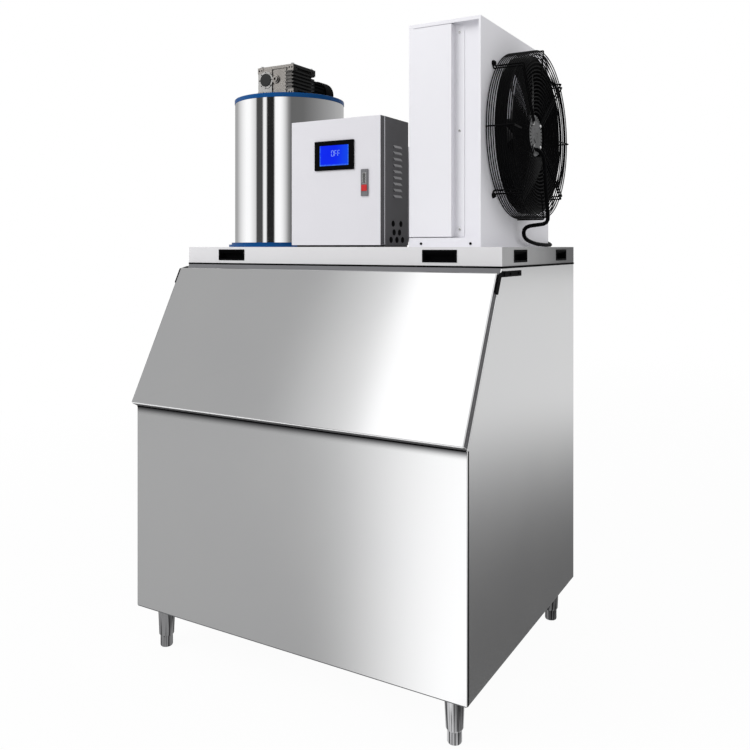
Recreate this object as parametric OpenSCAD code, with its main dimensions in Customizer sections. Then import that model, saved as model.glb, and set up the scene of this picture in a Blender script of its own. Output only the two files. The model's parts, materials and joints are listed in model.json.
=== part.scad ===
// Flake ice machine: ice bin on legs, base tray, ice maker drum, control box and condensing unit.
// The front faces -Y, the floor is Z = 0, sizes are in mm.

/* [Ice bin] */
// Width of the bin
bin_w = 1200; // [1150:10:1300]
// Depth of the bin
bin_d = 960; // [940:10:1060]
// Height of the bin above its legs
bin_h = 1140; // [1060:10:1240]
// Height of the upright front panel
front_h = 668; // [620:4:720]
// Distance from the front panel back to the front edge of the top
top_set = 247; // [225:1:265]
// Thickness of an insulated wall
wall = 50; // [40:1:60]
// Outer sheet of the bin and its door
sheet = 1.5; // [1:0.1:2.5]
// Thickness of the inner liner
liner_t = 2; // [1.5:0.5:3]
// Rim left at each side of the door opening
rim_side = 70; // [60:1:90]
// Rim left below and above the door opening, along the slope
rim_end = 62; // [58:1:80]
// Wall of the frame that lines the door opening
frame_t = 3; // [2:0.5:4]
// Outer diameter of the drain pipe
drain_d = 32; // [26:1:40]
// Length of the drain pipe below the bin
drain_l = 45; // [30:1:60]

/* [Bin door] */
// Thickness of the door
door_t = 25; // [20:1:30]
// Thickness of the gasket under the door
gasket_t = 5; // [4:0.5:8]
// Gap along the slope between the door and the top edge of the bin
door_gap = 30; // [24:1:40]
// Width of the gasket
gasket_w = 16; // [12:1:20]
// Thickness of a hinge leaf
leaf_t = 3; // [2:0.5:4]
// Diameter of a hinge pin
hinge_d = 8; // [6:0.5:9]

/* [Legs] */
// Height of the legs with their feet
leg_h = 145; // [120:1:170]
// Diameter at the top of a leg
leg_top_d = 58; // [50:1:64]
// Diameter near the bottom of a leg
leg_low_d = 49; // [46:1:52]
// Diameter of a foot
foot_d = 41; // [36:1:44]
// Height of a foot below its leg
foot_h = 36; // [28:1:46]
// Diameter of the stem of a foot
stem_d = 16; // [12:1:20]
// Distance from a leg to the side of the bin
leg_inset = 68; // [60:1:90]

/* [Base tray] */
// Height of the tray
tray_h = 57; // [52:1:70]
// Sheet of the tray
tray_sheet = 2; // [1.5:0.5:3]
// Thickness of the seal under the tray
seal_t = 3; // [2:0.5:5]
// Width of a handle cup
cup_w = 115; // [100:1:130]
// Height of a handle cup
cup_h = 38; // [34:1:42]
// Depth of a handle cup
cup_depth = 26; // [20:1:32]

/* [Ice maker] */
// Outer diameter of the drum
drum_d = 407; // [396:1:420]
// Height of the steel part of the drum above the tray
drum_h = 530; // [500:5:560]
// Outer diameter of the base flange
flange_d = 452; // [442:1:460]
// Bore of the freezing cylinder
bore_d = 300; // [290:1:310]
// Wall of the freezing cylinder
jacket_t = 8; // [6:0.5:10]
// Diameter of the spindle
spindle_d = 40; // [34:1:44]
// Running clearance of the spindle
run_gap = 0.05; // [0.02:0.01:0.1]
// Height of the base flange
base_h = 16; // [14:1:20]
// Height of the top cover
cover_h = 16; // [14:1:20]

/* [Gearbox] */
// Width of the gearbox
gear_w = 162; // [150:1:170]
// Depth of the gearbox
gear_d = 140; // [130:1:150]
// Height of the gearbox
gear_h = 114; // [108:1:120]
// Distance from the spindle to the worm axis
worm_off = 58; // [54:1:60]
// Diameter of the motor
motor_d = 104; // [94:1:108]
// Length of the motor behind the gearbox
motor_l = 240; // [200:1:250]

/* [Control box] */
// Gap between the drum and the control box, seen from the front
ctrl_left_gap = 9.5; // [4:0.5:20]
// Gap between the control box and the condenser case
ctrl_right_gap = 74; // [60:1:90]
// Depth of the control box with its door
ctrl_d = 186; // [170:1:190]
// Height of the control box above its rails
ctrl_h = 408; // [390:1:420]
// Depth of the door
ctrl_door = 24; // [22:1:28]
// Gap between the door and the case
ctrl_gap = 2.5; // [2.5:0.5:4]
// Sheet of the box
ctrl_sheet = 1.5; // [1:0.1:2]
// Height of the rails under the box
rail_h = 6; // [4:1:10]
// Width of the display frame
disp_w = 150; // [130:1:170]
// Height of the display frame
disp_h = 95; // [80:1:110]
// Travel of the latch button
push = 3; // [2:0.5:4]

/* [Condensing unit] */
// Width of the condenser case
case_w = 242; // [230:1:250]
// Depth of the condenser case
case_d = 640; // [620:1:650]
// Height of the condenser case
case_h = 693; // [670:1:720]
// Distance from the side of the bin to the condenser case
case_inset = 89; // [87:1:96]
// Sheet of the case
case_sheet = 1.5; // [1:0.1:2]
// Depth of the recessed strip at the front of the case
recess = 30; // [24:1:33]

/* [Fan] */
// Diameter of the fan
fan_d = 494; // [480:1:500]
// Number of blades
blades = 5; // [4:1:7]
// Radius of the guard
guard_r = 269; // [266:1:275]
// Distance from the case to the outer front ring of the guard
guard_p = 90; // [84:1:90]
// Diameter of a ring wire
wire_d = 3.5; // [2.5:0.5:4]
// Diameter of an arm wire
arm_d = 5; // [4:0.5:6]
// Diameter of the fan motor
stator_d = 134; // [120:1:140]
// Diameter of the fan cable
cable_d = 13; // [10:1:13]

/* [Hidden] */
$fn = 64;
eps = 0.5;
weld = 0.15;
slope_a = atan2(top_set, bin_h - front_h);
slope_l = (bin_h - front_h) / cos(slope_a);
door_l = slope_l - door_gap;
door_reach = (gasket_t + door_t) * cos(slope_a);
front_y = (door_reach - bin_d) / 2;
bin_z = leg_h;
bin_top = bin_z + bin_h;
open_w = bin_w - 2 * rim_side;
open_l = slope_l - 2 * rim_end;
side_x = bin_w / 2;
pivot_y = front_y + top_set + 5;
pivot_z = bin_top - 18;
leaf_gap = 0.4;

tray_y = front_y + top_set;
tray_d = bin_d - top_set;
tray_z = bin_top + seal_t;
deck = tray_z + tray_h;
cup_z = tray_z + tray_h / 2 + 1;
cup_x = side_x - 199;

drum_x = -side_x + 240;
drum_y = tray_y + 287;
bore_r = bore_d / 2;
shell_r = drum_d / 2;
flange_r = flange_d / 2;
spindle_r = spindle_d / 2;
bearing_r = spindle_r + 8;
chute_t = 3;
lip_r = bore_r - 10;
gear_z = deck + drum_h + cover_h + 12;
worm_x = drum_x - worm_off;
worm_z = gear_z + gear_h / 2 + 8;
blade_top = drum_h - 40;
hub_top = drum_h - 52;

face_x = side_x - case_inset;
case_x = face_x - case_w;
case_y = tray_y + 55;
case_top = deck + case_h;
ctrl_left = drum_x + shell_r + ctrl_left_gap;
ctrl_right = case_x - ctrl_right_gap;
ctrl_w = ctrl_right - ctrl_left;
ctrl_x = (ctrl_left + ctrl_right) / 2;
ctrl_y = tray_y + 6;
ctrl_z = deck + rail_h;
ctrl_top = ctrl_z + ctrl_h;
case_front = ctrl_y + ctrl_door + ctrl_gap;
pin_d = 5;
pin_x = ctrl_left + 5;
pin_y = ctrl_y + ctrl_door - 5;
ear_t = 3;
low_pin = ctrl_z + 40;
high_pin = ctrl_top - 46;
disp_z = ctrl_z + 0.71 * ctrl_h;
latch_x = ctrl_right - 57;
latch_z = ctrl_z + 0.485 * ctrl_h;
latch_w = 26;
latch_h = 85;
button_w = 20.4;
button_h = 20;
button_z = latch_z - 17;
slide_gap = 0.4;

cover_w = 0.6 * case_w;
cover_z = deck + 31;
cover_top = case_top - 12;
fan_y = case_y + case_d / 2 - 22;
fan_z = deck + 363;
orifice_r = fan_d / 2 + 8;
ring_pitch = 12;
side_pitch = (guard_p - 6) / 12;
stator_r = stator_d / 2;
stator_p = ring_p(54) + wire_d / 2 + weld;
fan_out = 16;
collar = 27;
fan_shaft = 16;
comp_x = case_x - 199;
comp_y = tray_y + 400;
riser = [comp_x - 150, comp_y + 30];

// Route of the fan cable: steps from the middle of the case's side at its face, Z from the tray
cable_route = [
  [62, -30, 318], [76, -28, 316], [85, -20, 308], [90, -10, 294], [91, -3, 276], [91, 1, 254], [92, 3, 228],
  [93, 4, 200], [95, 5, 172], [97, 5, 146], [99, 5, 120], [101, 4, 102], [101, 3, 90], [97, 0, 80], [88, -4, 75],
  [75, -9, 73], [61, -14, 71], [48, -18, 69], [37, -20, 65], [29, -20, 57], [25, -15, 47], [23, -5, 37],
  [22, 10, 29], [22, 30, 23], [23, 55, 18], [24, 85, 14], [24, 115, 11], [24, 150, 9], [23, 185, 8], [22, 215, 7],
  [20, 245, 7], [17, 275, 7], [13, 300, 7], [9, 317, 8], [2, 327, 11], [-8, 331, 15], [-20, 332, 21],
  [-32, 332, 29], [-41, 330, 37], [-46, 325, 42], [-47, 318, 44]];
gland = [-47, 320, 44];

// Side outline of the bin, moved in by t on every side
function bin_profile(t) = let(
    c = cos(slope_a), s = sin(slope_a),
    low = front_h - t * s + t * tan(slope_a / 2) * c,
    top_y = t * c + (bin_h - t - front_h + t * s) / c * s)
  [[t, t], [bin_d - t, t], [bin_d - t, bin_h - t], [top_y, bin_h - t], [t, low]];

module bin_solid(t) {
  translate([0, front_y, bin_z]) rotate([90, 0, 90])
    linear_extrude(height = bin_w - 2 * t, center = true) polygon(bin_profile(t));
}

// Frame of the slope: X across, Y up the slope, Z out of it
module on_slope() {
  translate([0, front_y, bin_z + front_h]) rotate([90 - slope_a, 0, 0]) children();
}

module box(lo, hi) {
  translate(lo) cube(hi - lo);
}

module tube(r_out, r_in, z0, z1) {
  translate([0, 0, z0]) difference() {
    cylinder(r = r_out, h = z1 - z0);
    translate([0, 0, -eps]) cylinder(r = r_in, h = z1 - z0 + 2 * eps);
  }
}

module along_x() {
  rotate([0, 90, 0]) children();
}

module along_y() {
  rotate([-90, 0, 0]) children();
}

module at_drum() {
  translate([drum_x, drum_y, deck]) children();
}

module at_fan() {
  translate([face_x, fan_y, fan_z]) children();
}

module opening_cut(grow) {
  on_slope() translate([-open_w / 2 - grow, rim_end - grow, -wall - 12])
    cube([open_w + 2 * grow, open_l + 2 * grow, wall + 12 + eps]);
}

module chute_cut() {
  at_drum() translate([0, 0, -tray_h - seal_t - wall - eps])
    cylinder(r = bore_r + chute_t, h = tray_h + seal_t + wall + 2 * eps);
}

module drain_cut() {
  translate([0, front_y + bin_d - 140, bin_z - eps]) cylinder(d = drain_d - 2, h = wall + 2 * eps);
}

// Round bar along a list of points, with n flats
function unit(v) = v / norm(v);
function course(p, i) = unit((i < len(p) - 1 ? unit(p[i + 1] - p[i]) : [0, 0, 0])
                             + (i > 0 ? unit(p[i] - p[i - 1]) : [0, 0, 0]));
function square_to(u, t) = unit(u - (u * t) * t);
function frames(p, i, u, done) = i == len(p) ? done
  : let(t = course(p, i), v = square_to(u, t)) frames(p, i + 1, v, concat(done, [[v, cross(t, v)]]));

module bar(p, d, n, u) {
  f = frames(p, 0, u, []);
  m = len(p);
  points = [for (i = [0:m - 1]) for (k = [0:n - 1])
    p[i] + d / 2 * (cos(360 * k / n) * f[i][0] + sin(360 * k / n) * f[i][1])];
  sides = [for (i = [0:m - 2]) for (k = [0:n - 1]) let(a = i * n + k, b = i * n + (k + 1) % n)
    each [[a, a + n, b + n], [a, b + n, b]]];
  ends = [[for (k = [0:n - 1]) k], [for (k = [n - 1:-1:0]) (m - 1) * n + k]];
  polyhedron(points = points, faces = concat(sides, ends), convexity = 8);
}

// A list of corners with each inner corner rounded by bend
function rounded(p, bend, n) = concat([p[0]], [for (i = [1:len(p) - 2]) for (k = [0:n])
    let(a = p[i] + bend * unit(p[i - 1] - p[i]), b = p[i] + bend * unit(p[i + 1] - p[i]), t = k / n)
    (1 - t) * (1 - t) * a + 2 * t * (1 - t) * p[i] + t * t * b], [p[len(p) - 1]]);

// Ice bin
module bin_shell() {
  color([0.74, 0.75, 0.76]) difference() {
    bin_solid(0);
    bin_solid(sheet);
    opening_cut(0);
    chute_cut();
    drain_cut();
  }
}

// Foam boards, with narrow joints where the walls, the floor, the top and the rims of the opening meet
module bin_insulation() {
  t = wall - liner_t;
  x = side_x - t;
  y = front_y + bin_d;
  bend = bin_z + bin_profile(t)[4][1];
  color([0.86, 0.8, 0.6]) difference() {
    bin_solid(sheet);
    bin_solid(t);
    opening_cut(0);
    chute_cut();
    drain_cut();
    for (k = [-1, 1]) translate([k * x - weld / 2, front_y - eps, bin_z]) cube([weld, bin_d + 2 * eps, bin_h]);
    for (z = [bin_z + t, bend, bin_top - t - weld]) box([-x, front_y - eps, z], [x, y + eps, z + weld]);
    for (k = [-1, 1]) box([k * open_w / 2 - weld / 2, front_y - eps, bend],
                          [k * open_w / 2 + weld / 2, y - 2 * wall, bin_top - t]);
  }
}

module bin_liner() {
  color([0.8, 0.81, 0.82]) difference() {
    bin_solid(wall - liner_t);
    bin_solid(wall);
    opening_cut(0);
    chute_cut();
    drain_cut();
  }
}

module opening_frame() {
  color([0.85, 0.86, 0.87]) on_slope() difference() {
    union() {
      translate([-open_w / 2, rim_end, -wall]) cube([open_w, open_l, wall]);
      translate([-open_w / 2 - 10, rim_end - 10, 0]) cube([open_w + 20, open_l + 20, 2]);
    }
    translate([-open_w / 2 + frame_t, rim_end + frame_t, -wall - eps])
      cube([open_w - 2 * frame_t, open_l - 2 * frame_t, wall + 4]);
  }
}

module ice_chute() {
  color([0.8, 0.81, 0.82]) at_drum() tube(bore_r + chute_t, bore_r, -tray_h - seal_t - wall, 0);
}

module drain_outlet() {
  d = drain_d - 2;
  color([0.9, 0.9, 0.88]) translate([0, front_y + bin_d - 140, 0]) difference() {
    union() {
      translate([0, 0, bin_z - drain_l]) cylinder(d = drain_d, h = drain_l - 5);
      translate([0, 0, bin_z - drain_l]) cylinder(d = d, h = drain_l + wall);
      translate([0, 0, bin_z + wall]) cylinder(d = drain_d + 24, h = 3);
    }
    translate([0, 0, bin_z - drain_l - eps]) cylinder(d = d - 6, h = drain_l + wall + 4);
  }
}

// Bin door
module door_skin() {
  color([0.74, 0.75, 0.76]) on_slope() difference() {
    translate([-bin_w / 2, 0, gasket_t]) cube([bin_w, door_l, door_t]);
    translate([-bin_w / 2 + sheet, sheet, gasket_t - eps])
      cube([bin_w - 2 * sheet, door_l - 2 * sheet, door_t - sheet + eps]);
  }
}

module door_core() {
  color([0.86, 0.8, 0.6]) on_slope() translate([-bin_w / 2 + sheet, sheet, gasket_t + liner_t])
    cube([bin_w - 2 * sheet, door_l - 2 * sheet, door_t - sheet - liner_t]);
}

module door_liner() {
  color([0.85, 0.86, 0.87]) on_slope() translate([-bin_w / 2 + sheet, sheet, gasket_t])
    cube([bin_w - 2 * sheet, door_l - 2 * sheet, liner_t]);
}

module door_gasket() {
  color([0.12, 0.12, 0.12]) on_slope() difference() {
    translate([-open_w / 2 - 16 - gasket_w, rim_end - 16 - gasket_w, 0.4])
      cube([open_w + 32 + 2 * gasket_w, min(open_l + 32 + 2 * gasket_w, door_l - rim_end + 14 + gasket_w),
            gasket_t - 0.4]);
    translate([-open_w / 2 - 16, rim_end - 16, -eps])
      cube([open_w + 32, min(open_l + 32, door_l - rim_end + 14 - gasket_w / 2), gasket_t + 2 * eps]);
  }
}

module bin_hinge_leaves() {
  color([0.06, 0.06, 0.06]) for (s = [-1, 1]) translate([s * side_x, 0, 0]) mirror([s < 0 ? 1 : 0, 0, 0])
    union() {
      box([0, pivot_y - 9, bin_top - 27], [leaf_t, pivot_y + 148, bin_top - 10]);
      translate([0, pivot_y, pivot_z]) along_x()
        cylinder(d = hinge_d, h = 2 * leaf_t + 2 * leaf_gap);
      translate([2 * leaf_t + 2 * leaf_gap, pivot_y, pivot_z]) along_x()
        cylinder(d = hinge_d + 5, h = 2);
    }
}

// The leaf lies outside the bin's leaf and reaches down on to the side of the door
module door_hinge_leaves() {
  up = slope_l - door_gap;
  color([0.06, 0.06, 0.06]) for (s = [-1, 1]) mirror([s < 0 ? 1 : 0, 0, 0]) difference() {
    union() {
      translate([side_x + leaf_t + leaf_gap, 0, 0]) rotate([90, 0, 90]) linear_extrude(height = leaf_t)
        polygon([slope_yz(up - 4, gasket_t + 2), slope_yz(up - 58, gasket_t + 2),
                 slope_yz(up - 58, gasket_t + door_t - 2), slope_yz(up - 4, gasket_t + door_t - 2),
                 [pivot_y - 9, pivot_z + 9], [pivot_y + 9, pivot_z + 9], [pivot_y + 9, pivot_z - 7]]);
      translate([side_x, 0, 0]) rotate([90, 0, 90]) linear_extrude(height = leaf_t + leaf_gap)
        polygon([slope_yz(up - 14, gasket_t + 3), slope_yz(up - 58, gasket_t + 3),
                 slope_yz(up - 58, gasket_t + door_t - 3), slope_yz(up - 14, gasket_t + door_t - 3)]);
    }
    translate([side_x - eps, pivot_y, pivot_z]) along_x()
      cylinder(d = hinge_d + 2 * run_gap, h = 3 * leaf_t);
  }
}
function slope_yz(s, n) = [front_y + s * sin(slope_a) - n * cos(slope_a),
                           bin_z + front_h + s * cos(slope_a) + n * sin(slope_a)];

// Legs
module at_leg(sx, sy) {
  translate([sx * (side_x - leg_inset), sy < 0 ? front_y + leg_inset : front_y + bin_d - leg_inset + 14, 0])
    children();
}

module legs() {
  color([0.7, 0.71, 0.72]) for (sx = [-1, 1]) for (sy = [-1, 1]) at_leg(sx, sy) rotate_extrude()
    polygon([[stem_d / 2 + run_gap, foot_h], [foot_d / 2 + 0.5, foot_h], [leg_low_d / 2, foot_h + 6],
             [leg_top_d / 2, leg_h], [0, leg_h], [0, foot_h + 72], [stem_d / 2 + run_gap, foot_h + 72]]);
}

module foot(sx, sy) {
  r = foot_d / 2;
  color([0.7, 0.71, 0.72]) at_leg(sx, sy) rotate_extrude()
    polygon([[0, 0], [r - 5, 0], [r - 1.5, 1.5], [r, 5], [r, foot_h - 0.4], [stem_d / 2, foot_h - 0.4],
             [stem_d / 2, foot_h + 68], [0, foot_h + 68]]);
}

// Base tray
module at_cup(i) {
  if (i < 2) translate([(i == 0 ? -1 : 1) * cup_x, tray_y, cup_z]) children();
  else translate([(i < 4 ? 1 : -1) * side_x, tray_y + tray_d / 2 + (i % 2 == 0 ? -1 : 1) * 204, cup_z])
    rotate([0, 0, i < 4 ? 90 : -90]) children();
}

module base_tray() {
  color([0.92, 0.92, 0.93]) difference() {
    box([-side_x, tray_y, tray_z], [side_x, tray_y + tray_d, deck]);
    box([-side_x + tray_sheet, tray_y + tray_sheet, tray_z + tray_sheet],
        [side_x - tray_sheet, tray_y + tray_d - tray_sheet, deck - tray_sheet]);
    box([-side_x + 28, tray_y + 28, tray_z - eps], [side_x - 28, tray_y + tray_d - 28, tray_z + tray_sheet + eps]);
    chute_cut();
    for (i = [0:5]) at_cup(i) translate([-cup_w / 2 + 4, -eps, -cup_h / 2 + 4])
      cube([cup_w - 8, tray_sheet + 2 * eps, cup_h - 8]);
  }
}

module base_seal() {
  color([0.05, 0.05, 0.05]) difference() {
    box([-side_x + 1, tray_y + 1, bin_top], [side_x - 1, tray_y + tray_d - 1, tray_z]);
    box([-side_x + 26, tray_y + 26, bin_top - eps], [side_x - 26, tray_y + tray_d - 26, tray_z + eps]);
  }
}

// Recessed cup: a flange on the tray's wall, a pocket behind it and a sloped hood at the top of the pocket
module handle_cup() {
  difference() {
    union() {
      translate([-cup_w / 2, -2, -cup_h / 2]) cube([cup_w, 2, cup_h]);
      translate([-cup_w / 2 + 4, 0, -cup_h / 2 + 4]) cube([cup_w - 8, cup_depth, cup_h - 8]);
    }
    translate([cup_w / 2 - 6, 0, 0]) rotate([90, 0, -90]) linear_extrude(height = cup_w - 12)
      polygon([[3, -cup_h / 2 + 6], [3, cup_h / 2 - 5], [-2, cup_h / 2 - 8], [-7, cup_h / 2 - 14],
               [-9, cup_h / 2 - 14], [-9, cup_h / 2 - 6], [-cup_depth + 2, cup_h / 2 - 6],
               [-cup_depth + 2, -cup_h / 2 + 6]]);
  }
}

module front_handle_cups() {
  color([0.05, 0.05, 0.05]) for (i = [0:1]) at_cup(i) handle_cup();
}

module side_handle_cups() {
  color([0.05, 0.05, 0.05]) for (i = [2:5]) at_cup(i) handle_cup();
}

// Ice maker drum
module drum_base() {
  color([0.06, 0.27, 0.5]) at_drum() difference() {
    union() {
      rotate_extrude() polygon([[lip_r, 0], [flange_r, 0], [flange_r, base_h - 7], [flange_r - 10, base_h - 7],
                                [flange_r - 10, base_h], [bore_r, base_h], [bore_r, base_h / 2], [lip_r, base_h / 2]]);
      for (a = [30, 150, 270]) rotate([0, 0, a]) translate([bearing_r + 3, -9, 1]) cube([lip_r - bearing_r + 1, 18, base_h / 2 - 2]);
      translate([0, 0, -14]) cylinder(r = bearing_r + 8, h = 40);
    }
    translate([0, 0, 4]) cylinder(r = bearing_r, h = 40);
    translate([0, 0, -20]) cylinder(r = bearing_r - 4, h = 40);
  }
}

module drum_shell() {
  color([0.8, 0.81, 0.82]) at_drum() tube(shell_r, shell_r - sheet, base_h, drum_h);
}

module drum_insulation() {
  color([0.86, 0.8, 0.6]) at_drum() tube(shell_r - sheet, bore_r + jacket_t, base_h, drum_h);
}

module freezing_cylinder() {
  color([0.7, 0.72, 0.74]) at_drum() tube(bore_r + jacket_t, bore_r, base_h, drum_h);
}

module drum_top_cover() {
  color([0.06, 0.27, 0.5]) at_drum() difference() {
    union() {
      translate([0, 0, drum_h]) cylinder(r = shell_r + 1.5, h = cover_h);
      translate([0, 0, drum_h + cover_h]) cylinder(r = 62, h = 12);
    }
    translate([0, 0, drum_h - eps]) cylinder(r = bearing_r, h = cover_h + eps);
    translate([0, 0, drum_h]) cylinder(r = bearing_r - 4, h = cover_h + 13);
  }
}

module spindle_bearings() {
  color([0.6, 0.61, 0.63]) at_drum() {
    tube(bearing_r, spindle_r + run_gap, 4, 20);
    tube(bearing_r, spindle_r + run_gap, drum_h, drum_h + cover_h);
  }
}

module spindle() {
  color([0.66, 0.67, 0.69]) at_drum() translate([0, 0, 2])
    cylinder(r = spindle_r, h = drum_h + cover_h + 12 + gear_h - 26);
}

module blade_carrier() {
  color([0.7, 0.71, 0.72]) at_drum() difference() {
    union() {
      translate([0, 0, 60]) cylinder(r = spindle_r + 8, h = hub_top - 60);
      for (z = [90, hub_top - 60]) translate([-bore_r + 12, -10, z]) cube([bore_d - 24, 20, 20]);
    }
    translate([0, 0, 50]) cylinder(r = spindle_r, h = hub_top);
  }
}

module ice_blade() {
  color([0.75, 0.76, 0.78]) at_drum() difference() {
    translate([bore_r - 12, -9, 60]) cube([10, 18, blade_top - 60]);
    for (z = [80:24:blade_top - 24]) translate([bore_r - 6, -10, z]) cube([10, 20, 7]);
  }
}

module wiper() {
  color([0.1, 0.1, 0.1]) at_drum() translate([-bore_r + 1, -5, 60]) cube([11, 10, blade_top - 60]);
}

module water_ring() {
  color([0.75, 0.76, 0.78]) at_drum() rotate_extrude()
    polygon([[spindle_r, hub_top], [bore_r - 20, hub_top], [bore_r - 20, hub_top + 30], [bore_r - 23, hub_top + 30],
             [bore_r - 23, hub_top + 3], [spindle_r, hub_top + 3]]);
}

module water_pan() {
  color([0.85, 0.86, 0.87]) at_drum() rotate_extrude()
    polygon([[bore_r - 23, base_h / 2], [bore_r - 0.4, base_h / 2], [bore_r - 0.4, base_h + 18], [bore_r - 2.4, base_h + 18],
             [bore_r - 2.4, base_h / 2 + 2], [bore_r - 21, base_h / 2 + 2], [bore_r - 21, base_h + 14], [bore_r - 23, base_h + 14]]);
}

// Gearbox and its motor
module gearbox() {
  w = gear_w / 2;
  d = gear_d / 2;
  worm = [worm_x - drum_x + 14, -d, worm_z - gear_z];
  color([0.68, 0.69, 0.7]) translate([drum_x - 14, drum_y, gear_z]) difference() {
    union() {
      box([-w + 7, -d + 7, 0], [w - 12, d - 7, gear_h]);
      for (z = [0, gear_h - 11]) linear_extrude_at(z, 11) plate_outline(w, d, 6);
      for (i = [1:6]) box([42, -d + 1.5, gear_rib(i) - 2.5], [w - 1.5, d - 1.5, gear_rib(i) + 2.5]);
      box([-w, -d, 8], [-w + 64, d, gear_h - 8]);
      box([-w + 60, -d + 4, 8], [46, -d + 14, gear_h - 8]);
      translate(worm) along_y() translate([0, 0, -2]) cylinder(r = 32, h = 8);
      translate([0, -d, worm[2]]) along_y() translate([0, 0, -1]) cylinder(r = 15, h = 12);
      translate([0, -d, worm[2]]) along_y() translate([0, 0, -5]) cylinder(r = 10.5, h = 12);
      for (x = [-w - 1, w - 25]) for (z = [1, gear_h - 23]) box([x, -d - 1, z], [x + 26, -d + 12, z + 22]);
      for (y = [-d - 1, d - 25]) for (z = [1, gear_h - 23]) box([w - 14, y, z], [w + 1, y + 26, z + 22]);
    }
    translate([14, 0, -eps]) cylinder(r = spindle_r + run_gap, h = gear_h - 20);
    translate([0, -d, worm[2]]) along_y() translate([0, 0, -6]) cylinder(r = 5.5, h = 6, $fn = 6);
    for (x = [-w + 6, -w + 18, w - 18, w - 6]) for (z = [12, gear_h - 12]) translate([x, -d - 2, z]) along_y() cylinder(r = 3, h = 9);
    for (y = [-d + 6, -d + 18, d - 18, d - 6]) for (z = [12, gear_h - 12]) translate([w - 7, y, z]) along_x() cylinder(r = 3, h = 9);
  }
}

function gear_rib(i) = 11 + i * (gear_h - 22) / 7;

module linear_extrude_at(z, h) {
  translate([0, 0, z]) linear_extrude(height = h) children();
}

module plate_outline(w, d, c) {
  polygon([[-w + c, -d], [w - c, -d], [w, -d + c], [w, d - c], [w - c, d], [-w + c, d], [-w, d - c], [-w, -d + c]]);
}

module worm_end_cap() {
  color([0.05, 0.05, 0.05]) translate([worm_x, drum_y - gear_d / 2 - 5, worm_z]) along_y() cylinder(r = 24, h = 3);
}

module gear_motor() {
  color([0.05, 0.05, 0.05]) translate([worm_x, drum_y + gear_d / 2, worm_z]) along_y() union() {
    cylinder(r = motor_d / 2 + 2, h = 12);
    translate([0, 0, 6]) cylinder(r = motor_d / 2 - 8, h = motor_l - 58);
    for (a = [0:20:340]) rotate([0, 0, a]) translate([motor_d / 2 - 11, -1.5, 9]) cube([10, 3, motor_l - 70]);
  }
}

module motor_cowl() {
  color([0.05, 0.05, 0.05]) translate([worm_x, drum_y + gear_d / 2, worm_z]) along_y() difference() {
    translate([0, 0, motor_l - 52]) cylinder(r = motor_d / 2 + 1, h = 52);
    for (a = [0:30:330]) rotate([0, 0, a]) translate([14, -3, motor_l - 4]) cube([24, 6, 6]);
  }
}

// Control box
module control_case() {
  s = ctrl_sheet;
  color([0.8, 0.8, 0.82]) difference() {
    union() {
      difference() {
        box([ctrl_left, case_front, ctrl_z], [ctrl_right, ctrl_y + ctrl_d, ctrl_top]);
        box([ctrl_left + s, case_front + s, ctrl_z + s], [ctrl_right - s, ctrl_y + ctrl_d - s, ctrl_top - s]);
        box([ctrl_left + 16, case_front - eps, ctrl_z + 16], [ctrl_right - 16, case_front + s + eps, ctrl_top - 16]);
      }
      for (x = [ctrl_left + 3, ctrl_right - 33]) box([x, case_front + 2, deck], [x + 30, ctrl_y + ctrl_d - 2, ctrl_z + 0.5]);
      for (z = [low_pin, high_pin]) box([ctrl_left + 2, pin_y - 4, z], [ctrl_left + 12, case_front + 0.5, z + ear_t]);
      for (z = [low_pin, high_pin]) translate([pin_x, pin_y, z + 1]) cylinder(d = pin_d, h = 2 * ear_t + 1);
      for (i = [0:8]) translate([ctrl_right, ctrl_y + 82, ctrl_z + (151 + 20 * i) / 408 * ctrl_h]) rotate([90, 0, 90])
        louvre_hood();
    }
    for (i = [0:8]) translate([ctrl_right - s - eps, ctrl_y + 84, ctrl_z + (151 + 20 * i) / 408 * ctrl_h + 1.5])
      cube([s + 1.5 + eps, 47, 5]);
    for (h = [[81, 69], [133, 69], [87, 41], [124, 41], [67, 17], [106, 17], [145, 17]])
      translate([ctrl_right - s - eps, ctrl_y + h[0], ctrl_z + h[1]]) along_x() cylinder(d = 18.5, h = s + 2 * eps);
  }
}

// A pressed hood, open below: X along it, Y up, Z out of the side
module louvre_hood() {
  difference() {
    louvre_wedge(0, 51, [[0, -0.3], [11, -0.3], [10, 1], [2.5, 6.5], [0, 7]]);
    louvre_wedge(2, 47, [[-1, -1], [8.6, -1], [8.2, 0.3], [1.8, 5.1], [-1, 5.4]]);
  }
}

module louvre_wedge(start, length, outline) {
  translate([start, 0, 0]) rotate([90, 0, 90]) linear_extrude(height = length) polygon(outline);
}

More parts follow.
